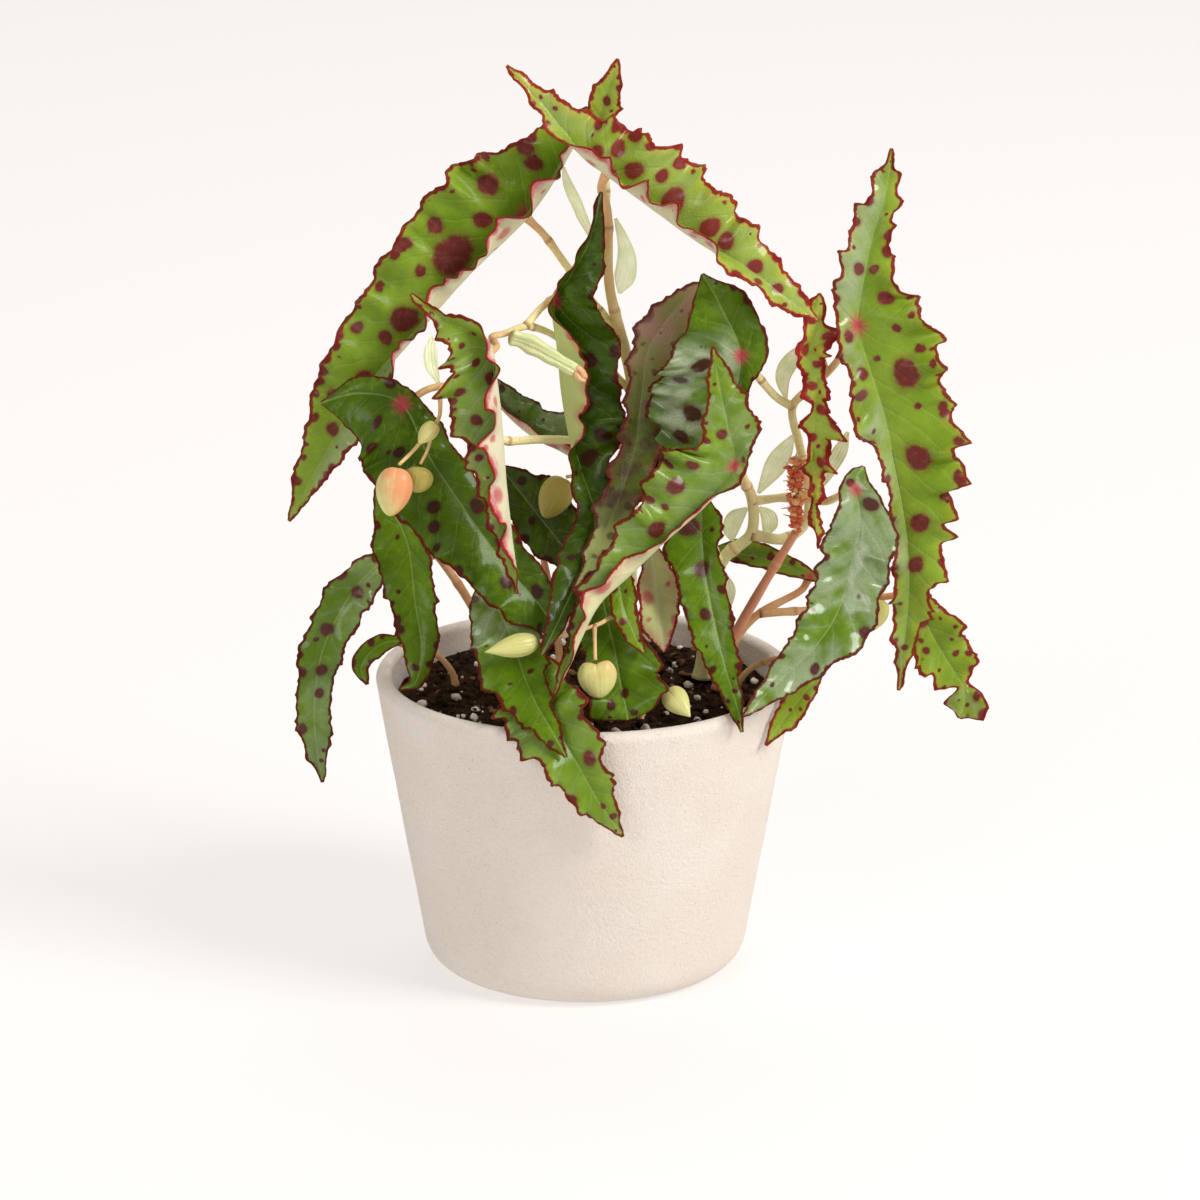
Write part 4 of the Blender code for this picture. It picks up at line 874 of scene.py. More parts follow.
def leaf_upper(look):
    """Green upper side: faint veins, painted sheen, light and shadow, maroon spots, red star and red margin.
    """
    graph = Graph("leaf_upper", 0.3, Coat_Roughness=0.17, Specular_IOR_Level=0.08)
    run, across = graph.pair("blade")
    edge, spot = graph.pair("spots")
    lime, sheen = graph.pair("tone")
    star_x, star_y = graph.pair("star")
    patch = graph.noise(0.07, 2)
    mottle = graph.noise(0.42, 3)
    fine = graph.noise(1.5, 3)
    side = graph.math("ABSOLUTE", across)
    green = graph.mix(graph.step(lime, 0.0, 0.5), look.dark_green, look.green)
    ripeness = lime + (patch - 0.5) * 0.5 + (mottle - 0.5) * 0.08
    green = graph.mix(graph.step(ripeness, 0.38, 1.05), green, look.lime_green)
    lateral = side_veins(graph, look, run, side, (patch - 0.5) * 6, (mottle - 0.5) * 0.8)
    # Painted light on the raised panels between the side veins, over the leaf's own paler mottle
    panel = graph.step(lateral, 0.75, 0.2) * graph.step(side, 0.5, 3.0)
    light = graph.step(mottle + (patch - 0.5) * 0.6, 0.45, 0.75) * 0.4 + panel * 0.12
    green = graph.mix(light * (0.3 + lime), green, look.fresh_green)
    # Painted glints: fine bright specks of highlight, more on the sheen leaves
    painted_glints = graph.step(graph.cells(1.1), 0.28, 0.1) * graph.step(fine, 0.4, 0.6) * (0.1 + sheen * 0.15)
    green = graph.mix(painted_glints, green, look.bloom)
    veins = graph.step(lateral, 0.86, 1.0) * graph.step(edge, 0.5, 5) * (0.08 + lime * 0.12)
    midrib = graph.step(side, 0.5, 0.12) * 0.4
    green = graph.mix(graph.math("MAXIMUM", veins, midrib), green, look.vein)
    # Painted sheen: grey highlight patches, placed between the veins by these noises
    gloss = graph.step(graph.noise(0.055, 2) + (lateral - 0.5) * 0.12 + (mottle - 0.5) * 0.14, 0.36, 0.62)
    gloss = gloss * (0.8 + (fine - 0.5) * 0.7)
    shadow = graph.step(patch, 0.55, 0.3) * graph.step(lime, 0.55, 0.2) * 0.45
    green = graph.mix(shadow, green, look.dark_green)
    # The painted sheen is mixed in where the sheen map is above 0.15
    bloom = graph.math("MINIMUM", gloss * graph.math("MAXIMUM", sheen - 0.15, 0.0) * 1.1, 0.85)
    green = graph.mix(bloom, green, look.bloom)
    warm = graph.step(edge + (patch - 0.5) * 7, 4.5, 0.3) * graph.step(lime, 0.4, 0.95) * 0.5
    green = graph.mix(warm, green, look.warm)
    maroon = graph.mix(graph.step(lime, 0.2, 0.65), look.maroon, look.maroon_light)
    maroon = graph.mix(graph.step(lime, 0.72, 0.92), maroon, look.crimson)
    blot = graph.step(spot + (mottle - 0.5) * 0.3 + (fine - 0.5) * 0.12, 1.2, 0.75)
    halo = graph.step(spot, 1.45, 1.0) * 0.3
    veil = graph.step(mottle + (fine - 0.5) * 0.3, 0.45, 0.75) * graph.step(lime, 0.3, 0.6) * 0.35
    maroon = graph.mix(veil, maroon, look.spot_ring)
    colour = graph.mix(graph.math("MAXIMUM", blot * 0.97, halo), green, maroon)
    radius = graph.math("SQRT", star_x * star_x + star_y * star_y)
    ray = graph.math("ABSOLUTE", graph.math("COSINE", graph.math("ARCTAN2", star_y, star_x) * 6.5))
    reach = graph.math("POWER", ray, 2) * 0.25 + 0.5 + (mottle - 0.5) * 0.7
    colour = graph.mix(graph.step(radius, reach * 1.1, reach * 0.1) * 0.9, colour, look.star)
    reddening = graph.step(lime, 0.35, 0.85)
    rim = graph.step(edge - reddening * 0.3 + (mottle - 0.5) * 1.8 + (fine - 0.5) * 0.4, 0.8, 0.25)
    colour = graph.mix(rim * 0.95, colour, graph.mix(reddening, look.margin, look.margin_young))
    graph.feed(graph.shader.inputs["Coat Weight"], (0.12 + sheen * 0.8) * (1 - rim))
    sunken = graph.step(lateral, 0.75, 1.0) * -0.5
    graph.bump(graph.cells(2.2) * 0.4 + fine * 0.35 + mottle * 0.4 + sunken, 0.2)
    return graph.finish(colour, 0.24 + fine * 0.14)


def leaf_under(look):
    """Cream to green underside with pink blotches under the spots."""
    graph = Graph("leaf_under", 0.5, Specular_IOR_Level=0.12)
    run, across = graph.pair("blade")
    edge, spot = graph.pair("spots")
    green, blush = graph.pair("under")
    patch = graph.noise(0.14, 3)
    fine = graph.noise(1.3, 3)
    side = graph.math("ABSOLUTE", across)
    colour = graph.mix(green + (patch - 0.5) * 0.3, look.under_cream, look.under_green)
    wash = graph.step(edge + (patch - 0.5) * 12 + (fine - 0.5) * 2, 5.0, 0) * (0.25 + blush)
    wash = graph.math("MINIMUM", wash, 1.0)
    colour = graph.mix(wash * 0.85, colour, look.under_pink)
    lateral = side_veins(graph, look, run, side, (patch - 0.5) * 3)
    veins = graph.math("MAXIMUM", graph.step(lateral, 0.9, 0.99) * 0.4, graph.step(side, 1.0, 0.3) * 0.6)
    colour = graph.mix(veins, colour, look.under_vein)
    blot = graph.step(spot + (fine - 0.5) * 0.5, 1.5, 0.6)
    colour = graph.mix(blot * 0.75, colour, look.under_spot)
    colour = graph.mix(graph.step(edge + (fine - 0.5) * 1.4, 0.9, 0.3), colour, look.margin_young)
    graph.bump(graph.cells(1.8) * 0.4 + fine * 0.3 + veins * 0.8, 0.2)
    return graph.finish(colour, 0.45 + fine * 0.12)


def leaf_bronze(look):
    """Underside of the leaf behind the glossy one: pink grey above, partly painted sheen, dark red bronze
    below.
    """
    graph = Graph("leaf_bronze", 0.35, Specular_IOR_Level=0.3)
    run, across = graph.pair("blade")
    edge, spot = graph.pair("spots")
    patch = graph.noise(0.14, 3)
    fine = graph.noise(1.2, 3)
    height = graph.node("SeparateXYZ", {}, {0: graph.place}, output=2)
    # By height: the pink grey above is partly the underside's own colour and partly a painted sheen
    colour = graph.mix(graph.step(height + (patch - 0.5) * 18, 200, 172), look.bronze_pink, look.bronze_dark)
    colour = graph.mix(graph.step(graph.noise(0.1, 3), 0.42, 0.62) * 0.5, colour, look.green)
    colour = graph.mix(graph.step(edge + (patch - 0.5) * 5, 2.2, 0.2) * 0.5, colour, look.margin_young)
    # Painted light: the lowest end turns green, partly its own paler tip and partly light shining through
    colour = graph.mix(graph.step(height + (patch - 0.5) * 12, 156, 140) * 0.8, colour, look.under_green)
    colour = graph.mix(graph.step(graph.math("ABSOLUTE", across), 0.7, 0.2) * 0.08, colour, look.under_vein)
    blot = graph.step(spot + (fine - 0.5) * 0.5, 1.4, 0.7)
    colour = graph.mix(blot * 0.6, colour, look.maroon)
    colour = graph.mix(graph.step(edge + (fine - 0.5) * 1.2, 1.0, 0.3), colour, look.margin)
    graph.bump(graph.cells(1.8) * 0.4 + fine * 0.4 + patch, 0.25)
    return graph.finish(colour, 0.3 + fine * 0.2)


def bract_paper(look):
    """Thin dry translucent sheath with fine lengthwise veins, glowing faintly in its own colour as painted
    light.
    """
    graph = Graph("bract_paper", 0.42, Specular_IOR_Level=0.2, Emission_Strength=0.2)
    run, across = graph.pair("blade")
    edge, _ = graph.pair("spots")
    patch = graph.noise(0.22, 3)
    lines = graph.math("ABSOLUTE", graph.math("SINE", across * 3.2 + (patch - 0.5) * 2))
    colour = graph.mix(graph.step(patch, 0.3, 0.75), look.bract_cream, look.bract_green)
    colour = graph.mix(graph.step(lines, 0.8, 1.0) * 0.22, colour, look.bract_vein)
    colour = graph.mix(graph.step(edge, 0.9, 0.1) * 0.55, colour, look.bract_vein)
    graph.bump(lines * 0.6 + graph.noise(0.9, 3) * 0.6, 0.25)
    graph.finish(colour, 0.38 + patch * 0.2)
    # Painted light: a faint glow in the sheath's own colour, standing in for light shining through it
    graph.feed(graph.shader.inputs["Emission Color"], colour)
    glow = graph.node("BsdfTranslucent", {}, {"Color": colour})
    both = graph.node("MixShader", {}, {0: 0.12, 1: Value(graph, graph.shader.outputs[0]), 2: glow})
    graph.feed(graph.tree.nodes["Material Output"].inputs["Surface"], both)
    return graph.material


# Canes, buds and flowers --------------------------------------------------------------------------

def tube_grid(path, radii, sides):
    """Rings of points round a path, carried along it without twist."""
    along = unit(np.gradient(path, axis=0))
    across = np.cross(along[0], (0.0, 0.0, 1.0) if abs(along[0][2]) < 0.9 else (1.0, 0.0, 0.0))
    rings = []
    turns = np.linspace(0, 2 * math.pi, sides, endpoint=False)
    for point, direction, radius in zip(path, along, radii):
        across = unit(across - direction * (across @ direction))
        other = np.cross(direction, across)
        rings.append(point + radius * (np.cos(turns)[:, None] * across + np.sin(turns)[:, None] * other))
    return np.array(rings)


def shoot_path(points, leaf, place):
    """A shoot's own points, turned towards the underside of its leaf and carried on to it."""
    points = [np.array(point, float) for point in points]
    if leaf:
        rib, under = under_direction(full_rows(LEAVES[leaf].rows), place)
        seat = rib + under * SEAT_DROP
        back = points[-1] - seat
        length = np.linalg.norm(back)
        points += [seat + unit(under + back / length) * length * TURN_SHARE, seat, rib + under * 0.3]
    places, distances = even_places(points, 1.1)
    return spline(points, places), distances


def shoots_piece(name, shoots, material, look, slot):
    """All shoots of one cane in one piece, with swollen joints, brown rings and a flare under each leaf."""
    rng = np.random.default_rng(len(name) * 31 + len(shoots))
    pile = Pile()
    for index, (knots, start, end, leaf, place) in enumerate(shoots):
        path, distances = shoot_path(knots, leaf, place)
        share = distances / distances[-1]
        radii = start + (end - start) * share
        ring = np.exp(-(distances / 1.4) ** 2) * (knots[0][2] > BRANCH_HEIGHT)
        for joint in np.arange(9 + rng.uniform(0, 8), distances[-1] - 8, look.joint_spacing):
            radii *= 1 + 0.2 * np.exp(-((distances - joint) / 1.5) ** 2)
            ring = np.maximum(ring, np.exp(-((distances - joint - 0.6) / 0.7) ** 2))
        radii *= 1 + 0.3 * np.exp(-distances / 2.2)
        if leaf:
            radii *= 1 + 0.35 * smoothstep(5, 0, distances[-1] - distances)
        radii *= 1 + 0.04 * wander(rng, distances, 3.5)
        blush = share if leaf else np.full(len(share), 0.8)
        young = np.where(ring > 0.05, 1 + ring, 0.15 if start > 1.8 else 0.75)
        low, high = index / len(shoots), (index + 0.94) / len(shoots)
        pile.add(tube_grid(path, radii * look.cane_scale, look.cane_sides), ((0.01, low), (0.94, high)),
                 ((0.955, low), (0.98, low)), (blush[:, None], young[:, None]))
    return pile.piece(name, material, slot)


def cane_skin(name, base, young, blush, spot):
    """Smooth fleshy skin: green-tan where it is thick, pinker towards a leaf, brown at the rings."""
    graph = Graph(name, 0.42, Specular_IOR_Level=0.25, Subsurface_Weight=0.12, Subsurface_Radius=CANE_SPREAD)
    towards_leaf, youth = graph.pair("tone")
    patch = graph.noise(0.16, 3)
    fine = graph.noise(1.8, 3)
    colour = graph.mix(graph.math("MINIMUM", youth, 0.75) + (patch - 0.5) * 0.7, base, young)
    colour = graph.mix(graph.step(towards_leaf + (patch - 0.5) * 0.5, 0.35, 1.05), colour, blush)
    colour = graph.mix(graph.step(youth + (fine - 0.5) * 0.7, 1.1, 1.9) * 0.8, colour, spot)
    colour = graph.mix(graph.step(fine, 0.52, 0.72) * 0.3, colour, spot)
    flecks = graph.step(graph.cells(1.1), 0.24, 0.1)
    colour = graph.mix(flecks * 0.35, colour, spot)
    graph.bump(fine * 0.6 + patch * 0.5 + flecks * 0.3, 0.18)
    return graph.finish(colour, 0.34 + fine * 0.2)


def ball_points(lines, columns):
    """Points of a unit ball, ring by ring from pole to pole."""
    rise = np.linspace(0.015, math.pi - 0.015, lines)[:, None]
    turn = np.linspace(0, 2 * math.pi, columns, endpoint=False)[None, :]
    return np.stack([np.sin(rise) * np.cos(turn), np.sin(rise) * np.sin(turn),
                     np.cos(rise) * np.ones_like(turn)], -1).reshape(-1, 3)


def bud_piece(name, base, tip, width, depth, notch, point, blush, green, material, slot):
    """A flattened bud: two petals pressed together, with a keel round its edge."""
    base, tip = np.array(base, float), np.array(tip, float)
    length = np.linalg.norm(tip - base)
    down = (tip - base) / length
    toward = unit(SHOW - (SHOW @ down) * down)
    across = np.cross(down, toward)
    lines, columns = 44, 56
    spread, thick, height = ball_points(lines, columns).T
    reach = (1 - height) / 2
    narrow = (1 - point * reach ** 2.5) * (1 + 0.12 * (1 - reach))
    fall = reach * length - notch * length * np.minimum(np.abs(spread) * 1.6, 1) * (1 - reach)
    keel = 1 + 0.13 * np.exp(-(thick / 0.13) ** 2)
    rib = 1 + 0.008 * np.sin(spread * 12) * (1 - np.abs(height))
    seam = 1 - 0.06 * np.exp(-(spread / 0.1) ** 2)
    points = (base + down * fall[:, None] + across * (spread * narrow * keel * width / 2)[:, None]
              + toward * (thick * narrow * rib * seam * depth / 2)[:, None])
    pile = Pile()
    pile.add(points.reshape(lines, columns, 3), ((0.02, 0.02), (0.9, 0.98)), CAPS_BY_BAND, (blush, green),
             flip=True)
    return pile.piece(name, material, slot, run=np.stack([reach, spread], -1))


def bud_skin(look):
    """Waxy cream to green skin with fine veins and a pink flush on its stalk's side."""
    graph = Graph("bud_skin", 0.38, Specular_IOR_Level=0.45, Subsurface_Weight=0.25,
                  Subsurface_Radius=BUD_SPREAD)
    reach, spread = graph.pair("run")
    blush, green = graph.pair("tone")
    patch = graph.noise(0.25, 3)
    fine = graph.noise(1.6, 3)
    colour = graph.mix(green + (patch - 0.5) * 0.4, look.bud_cream, look.bud_green)
    veins = graph.step(graph.math("ABSOLUTE", graph.math("SINE", spread * 11 + (patch - 0.5) * 3)), 0.8, 1.0)
    colour = graph.mix(veins * 0.12, colour, look.bud_vein)
    wash = graph.step(blush + (patch - 0.5) * 0.6 - reach * 0.5 - spread * 0.25, 0.15, 0.8)
    colour = graph.mix(wash * 0.85, colour, look.bud_blush)
    colour = graph.mix(graph.step(fine, 0.6, 0.8) * 0.15, colour, look.bud_vein)
    graph.bump(veins * 0.15 + fine * 0.25 + patch, 0.2)
    return graph.finish(colour, 0.28 + fine * 0.14)


def capsule_piece(look, slot):
    """The long pale capsule: ribs, a brown scar at its foot and curled pink styles at its other end."""
    rows = [(*point, radius) for point, radius in zip(CAPSULE, CAPSULE_RADII)]
    places, distances = even_places(rows, 0.5)
    values = spline(rows, places)
    sides = 48
    rings = tube_grid(values[:, :3], np.ones(len(values)), sides)
    centres = values[:, None, :3]
    turns = np.linspace(0, 2 * math.pi, sides, endpoint=False)[None, :]
    share = (distances / distances[-1])[:, None]
    rib = 1 + 0.22 * np.cos(3 * turns + 0.6 * share) + 0.06 * np.cos(9 * turns + 5 * share)
    waist = 1 + 0.06 * np.sin(share * 21) + 0.25 * np.exp(-((share - 0.95) / 0.05) ** 2)
    waist = waist - 0.6 * np.exp(-((1 - share) / 0.02) ** 2)
    pile = Pile()
    pile.add(centres + (rings - centres) * (values[:, 3][:, None] * rib * waist)[..., None],
             ((0.02, 0.02), (0.9, 0.6)), CAPS_BY_BAND, (share, 0.3))
    tip, steps, styles = values[0, :3], 16, 3
    t = np.linspace(0, 1, steps)[:, None]
    for index in range(styles):
        turn = 2 * math.pi * index / styles
        spread = np.array((0.3 * math.cos(turn), math.cos(turn), math.sin(turn)))
        curl = tip + np.array((3.0, -0.3, -1.2)) * t + spread * 1.8 * np.sin(t * 2.8)
        curl = curl - np.array((0, 0, 1.6)) * t ** 3
        low = 0.65 + 0.1 * index
        pile.add(tube_grid(curl, np.linspace(1.1, 0.7, steps), 10), ((0.02, low), (0.9, low + 0.09)),
                 ((0.93, low), (0.96, low)), (0.0, 1.0))
    return pile.piece("capsule_long", capsule_skin(look), slot)


def capsule_skin(look):
    """Pale green skin, pink on the styles and brown at the foot."""
    graph = Graph("capsule_skin", 0.4, Subsurface_Weight=0.15, Subsurface_Radius=BUD_SPREAD)
    share, blush = graph.pair("tone")
    patch = graph.noise(0.3, 3)
    colour = graph.mix(patch, look.bud_cream, look.bract_green)
    colour = graph.mix(graph.step(blush, 0.5, 1.0) * 0.6, colour, look.bud_blush)
    colour = graph.mix(graph.step(share + (patch - 0.5) * 0.1, 0.93, 1.0) * 0.7, colour, look.scar)
    graph.bump(graph.noise(1.4, 3) + patch, 0.2)
    return graph.finish(colour, 0.36 + patch * 0.2)


def cluster_piece(look, slot):
    """Many small pointed scales and curled threads round the top of the pink stalk."""
    rng = np.random.default_rng(11)
    low, high = (np.array(corner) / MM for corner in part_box("flower_cluster"))
    centre, height = (low + high) / 2, high[2] - low[2]
    pile = Pile()

    def axis_point(share):
        return np.array((centre[0], centre[1], low[2] + height * share))

    def cell_places(column, row, band, second_cap):
        """A cell of the atlas: the band's corners, then the caps beside it."""
        return (((column, row), (column + 0.04, row + band)),
                ((column + 0.05, row), (column + 0.05, row + second_cap)))

    lines, sides = 7, 8
    ball = ball_points(lines, sides)
    rise = (1 - ball[:, 2]) / 2
    slim = 1 - 0.85 * rise ** 2
    for index in range(look.scales):
        share = (index + rng.uniform()) / look.scales
        turn = index * GOLDEN_ANGLE + rng.uniform(-0.4, 0.4)
        girth = (0.4 + 1.1 * smoothstep(0.0, 0.75, np.array(share))) * rng.uniform(0.5, 1.5) * 1.7
        out = unit(np.array((math.cos(turn), math.sin(turn), rng.uniform(-0.1, 1.0))))
        root = axis_point(0.03 + 0.9 * share) + out * girth * 0.45
        length, width = rng.uniform(1.5, 3.1), rng.uniform(0.9, 1.7)
        across = unit(np.cross(out, (0, 0, 1)))
        other = np.cross(out, across)
        bend = np.array((0, 0, 1.0)) * (rise ** 2)[:, None] * rng.uniform(-0.8, 0.9)
        scale = (root + out * (rise * length)[:, None] + bend + across * (ball[:, 0] * slim * width)[:, None]
                 + other * (ball[:, 1] * slim * width * 0.8)[:, None])
        places = cell_places((index % 16) / 16, (index // 16) / 16, 0.05, 0.02)
        pile.add(scale.reshape(lines, sides, 3), *places, (rise.reshape(lines, sides), rng.uniform()),
                 flip=True)

    lines, sides = 9, 5
    t = np.linspace(0, 1, lines)[:, None]
    for index in range(look.threads):
        share, turn = rng.uniform(0.1, 1.0), rng.uniform(0, 2 * math.pi)
        out = unit(np.array((math.cos(turn), math.sin(turn), rng.uniform(-0.3, 0.8))))
        sway = unit(rng.uniform(-1, 1, 3))
        path = axis_point(share) + out * t * rng.uniform(3.2, 5.6)
        path = path + sway * np.sin(t * 2.4) * rng.uniform(0.4, 1.3)
        pile.add(tube_grid(path, np.linspace(0.3, 0.13, lines), sides),
                 *cell_places((index % 16) / 16, 0.5 + (index // 16) / 32, 0.025, 0.012), (t, rng.uniform()))
    return pile.piece("flower_cluster", cluster_skin(look), slot)


def cluster_skin(look):
    """Red to orange, each scale its own shade, some with a pale foot."""
    graph = Graph("cluster_skin", 0.55)
    rise, chance = graph.pair("tone")
    fine = graph.noise(2.0, 2)
    colour = graph.mix(graph.step(chance, 0.2, 0.9), look.cluster_red, look.cluster_orange)
    pale = graph.step(rise + (fine - 0.5) * 0.5, 0.8, 0.1) * graph.step(chance, 0.3, 0.7) * 0.7
    colour = graph.mix(pale, colour, look.cluster_pale)
    graph.bump(fine, 0.15)
    return graph.finish(colour, 0.45 + fine * 0.2)


# Pot and soil -------------------------------------------------------------------------------------

def arc(centre, radius, start, end, steps):
    """Points of an arc, its angles in degrees."""
    angles = np.radians(np.linspace(start, end, steps + 1))
    return [(centre[0] + radius * math.cos(angle), centre[1] + radius * math.sin(angle)) for angle in angles]


def line(start, end, steps, first=0):
    """Points of a line in equal steps, from step first on and without its end."""
    return [(start[0] + (end[0] - start[0]) * step / steps, start[1] + (end[1] - start[1]) * step / steps)
            for step in range(first, steps)]


def pot_profile(look):
    """Radius and height: the inside from the middle of its floor up, the lip, the outside, the foot."""
    wall, foot, floor = look.pot_wall, look.pot_foot, look.pot_floor
    slope = math.degrees(math.atan(look.pot_slope))
    lip = wall / 2

    def wall_radius(z):
        return look.pot_foot_radius + look.pot_slope * z

    lip_centre = (wall_radius(POT_HEIGHT - lip) - lip, POT_HEIGHT - lip)
    foot_centre = (wall_radius(foot) - foot, foot)
    inner = wall_radius(floor) - wall
    top, bottom = (arc(centre, radius, -slope, -slope, 1)[0]
                   for centre, radius in ((lip_centre, lip), (foot_centre, foot)))
    return [(POLE, floor), *line((0, floor), (inner, floor), 8, 1),
            *line((inner, floor), (lip_centre[0] - lip, lip_centre[1]), 24),
            *arc(lip_centre, lip, 180, -slope, 22), *line(top, bottom, 50, 1),
            *arc(foot_centre, foot, -slope, -90, 14),
            *((foot_centre[0] * step / 6, 0) for step in range(5, 0, -1)), (POLE, 0)]


def pot_piece(look, slot):
    """The turned pot: straight tapered wall, rounded foot and lip, and a faintly uneven thrown surface."""
    turns = np.linspace(0, 2 * math.pi, look.pot_sides, endpoint=False)
    rings = []
    for radius, z in pot_profile(look):
        drift = 0.10 * math.sin(z * 0.19) + 0.05 * math.sin(z * 0.7)
        calm = min(z / 6, 1.0) * min(radius / 20, 1.0)
        uneven = drift * 0.5 + 0.12 * np.sin(2 * turns + z * 0.03) + 0.05 * np.sin(5 * turns + 1)
        ring = radius + calm * uneven
        rings.append(np.stack([ring * np.cos(turns), ring * np.sin(turns), np.full(len(turns), z)], -1))
    pile = Pile()
    pile.add(np.array(rings), ((0.02, 0.01), (0.95, 0.99)), CAPS_AT_EDGE, flip=True)
    return pile.piece("pot", pot_clay(look), slot)


def pot_clay(look):
    """Matt off-white stoneware with fine grain, pinholes and faint specks."""
    graph = Graph("pot_clay", 0.8, Specular_IOR_Level=0.3)
    cloud = graph.noise(0.035, 3)
    grain = graph.noise(1.7, 4, roughness=0.7)
    fine = graph.noise(3.8, 2)
    pits = graph.step(graph.cells(0.85), 0.15, 0.04) * graph.step(graph.noise(0.3, 2), 0.5, 0.62)
    specks = graph.step(graph.cells(0.45), 0.10, 0.05) * graph.step(graph.noise(0.21, 1), 0.52, 0.62)
    colour = graph.mix(graph.step(cloud, 0.3, 0.7), look.pot_cream, look.pot_warm)
    colour = graph.mix(graph.step(grain, 0.5, 0.72) * 0.3, colour, look.pot_grain)
    colour = graph.mix(specks * 0.35, colour, look.pot_speck)
    colour = graph.mix(pits * 0.5, colour, look.pot_grain)
    grit = graph.noise(0.75, 3, roughness=0.7)
    graph.bump(grain * 0.8 + grit * 1.3 + fine * 0.35 - pits * 1.5 + cloud, 0.42)
    return graph.finish(colour, 0.7 + grain * 0.2)


def soil_point(look, radius, turn):
    """A point of the crumbly surface, which sinks a little at the wall."""
    x, y = radius * math.cos(turn), radius * math.sin(turn)
    place = Vector((x, y, 3.0))
    height = (1.5 * noise.noise(place * 0.09) + 1.0 * noise.noise(place * 0.28)
              + 0.55 * noise.noise(place * 0.8))
    edge = smoothstep(look.soil_radius - 8, look.soil_radius, np.array(radius))
    return x, y, SOIL_HIGH[2] - 0.3 + height * (1 - 0.5 * edge) - look.soil_sink * edge


def soil_piece(look, slot):
    """The mix's body, with a rough crumbly top."""
    sides, reach = 300, look.soil_radius
    turns = np.linspace(0, 2 * math.pi, sides, endpoint=False)
    rings = [[soil_point(look, radius, turn) for turn in turns]
             for radius in (0.3, *np.linspace(1.2, reach, 64))]
    rings += [[(radius * math.cos(turn), radius * math.sin(turn), z) for turn in turns]
              for radius, z in ((reach - 1, SOIL_HIGH[2] - 6), (look.soil_foot, SOIL_LOW[2]))]
    pile = Pile()
    pile.add(np.array(rings), ((0.02, 0.01), (0.95, 0.99)), CAPS_AT_EDGE)
    return pile.piece("soil", soil_skin(look), slot)


def soil_skin(look):
    """Dark matt compost with browner fibres."""
    graph = Graph("soil_mix", 0.95, Specular_IOR_Level=0.04)
    clods = graph.noise(0.35, 4, roughness=0.65)
    crumbs = graph.cells(1.1)
    colour = graph.mix(graph.step(clods, 0.35, 0.7), look.soil_dark, look.soil_brown)
    colour = graph.mix(graph.step(crumbs, 0.5, 0.1) * 0.4, colour, look.soil_brown)
    graph.bump(clods + crumbs * 0.6, 0.8)
    return graph.finish(colour, 0.85 + clods * 0.12)


def pebble_ball():
    """A ball of 80 triangles: points and faces."""
    ball = bmesh.new()
    bmesh.ops.create_icosphere(ball, subdivisions=2, radius=1.0)
    points = np.array([vert.co for vert in ball.verts])
    faces = np.array([[vert.index for vert in face.verts] for face in ball.faces])
    ball.free()
    return points, faces


def grain_piece(name, count, low, high, flatness, lump, lift, material, seed, look):
    """Scattered grains of one kind, from low to high in size, pressed a little into the soil."""
    rng = np.random.default_rng(seed)
    ball, ball_faces = pebble_ball()
    points, faces, tone = [], [], []
    for index in range(count):
        radius = math.sqrt(rng.uniform(0, 1)) * (look.soil_radius - 2.5)
        x, y, z = soil_point(look, radius, rng.uniform(0, 2 * math.pi))
        size = low + (high - low) * rng.uniform() ** 2.2
        shape = np.array((1.0, rng.uniform(0.55, 1.0), rng.uniform(*flatness)))
        lumps = 1 + lump * rng.uniform(-1, 1, len(ball))[:, None]
        spin = Matrix.Rotation(rng.uniform(0, 6.28), 3, "Z") @ Matrix.Rotation(rng.uniform(-0.7, 0.7), 3, "X")
        points.append((ball * lumps * shape * size) @ np.array(spin).T + (x, y, z + size * lift))
        faces.append(ball_faces + index * len(ball))
        tone.append(np.tile((rng.uniform(), rng.uniform()), (len(ball), 1)))
    side = math.ceil(math.sqrt(count))
    cell = np.arange(count)
    corner = np.stack([cell % side, cell // side], -1) / side
    flat = (ball[:, :2] * 0.45 + 0.5) / side
    atlas = (corner[:, None, :] + flat[None, :, :]).reshape(-1, 2)
    return add_piece(name, np.concatenate(points), np.concatenate(faces).tolist(), [material], [],
                     {"OFBake": atlas, "tone": np.concatenate(tone)})


def grain_skin(name, dark, light, roughness, depth):
    """Matt grains, each its own shade; depth is that of the bumps, in mm."""
    graph = Graph(name, roughness, Specular_IOR_Level=0.08)
    chance, _ = graph.pair("tone")
    fine = graph.noise(1.7, 3)
    colour = graph.mix(chance * 0.7 + fine * 0.5, dark, light)
    graph.bump(fine + graph.cells(2.4) * 0.5, depth)
    return graph.finish(colour, roughness - 0.1 + fine * 0.15)


# Add-on -------------------------------------------------------------------------------------------

def shade(name, description, *channels):
    return FloatVectorProperty(name=name, description=description, subtype="COLOR", size=4, min=0, max=1,
                               default=(*channels, 1.0))


def amount(name, description, default):
    return FloatProperty(name=name, description=description, default=default)


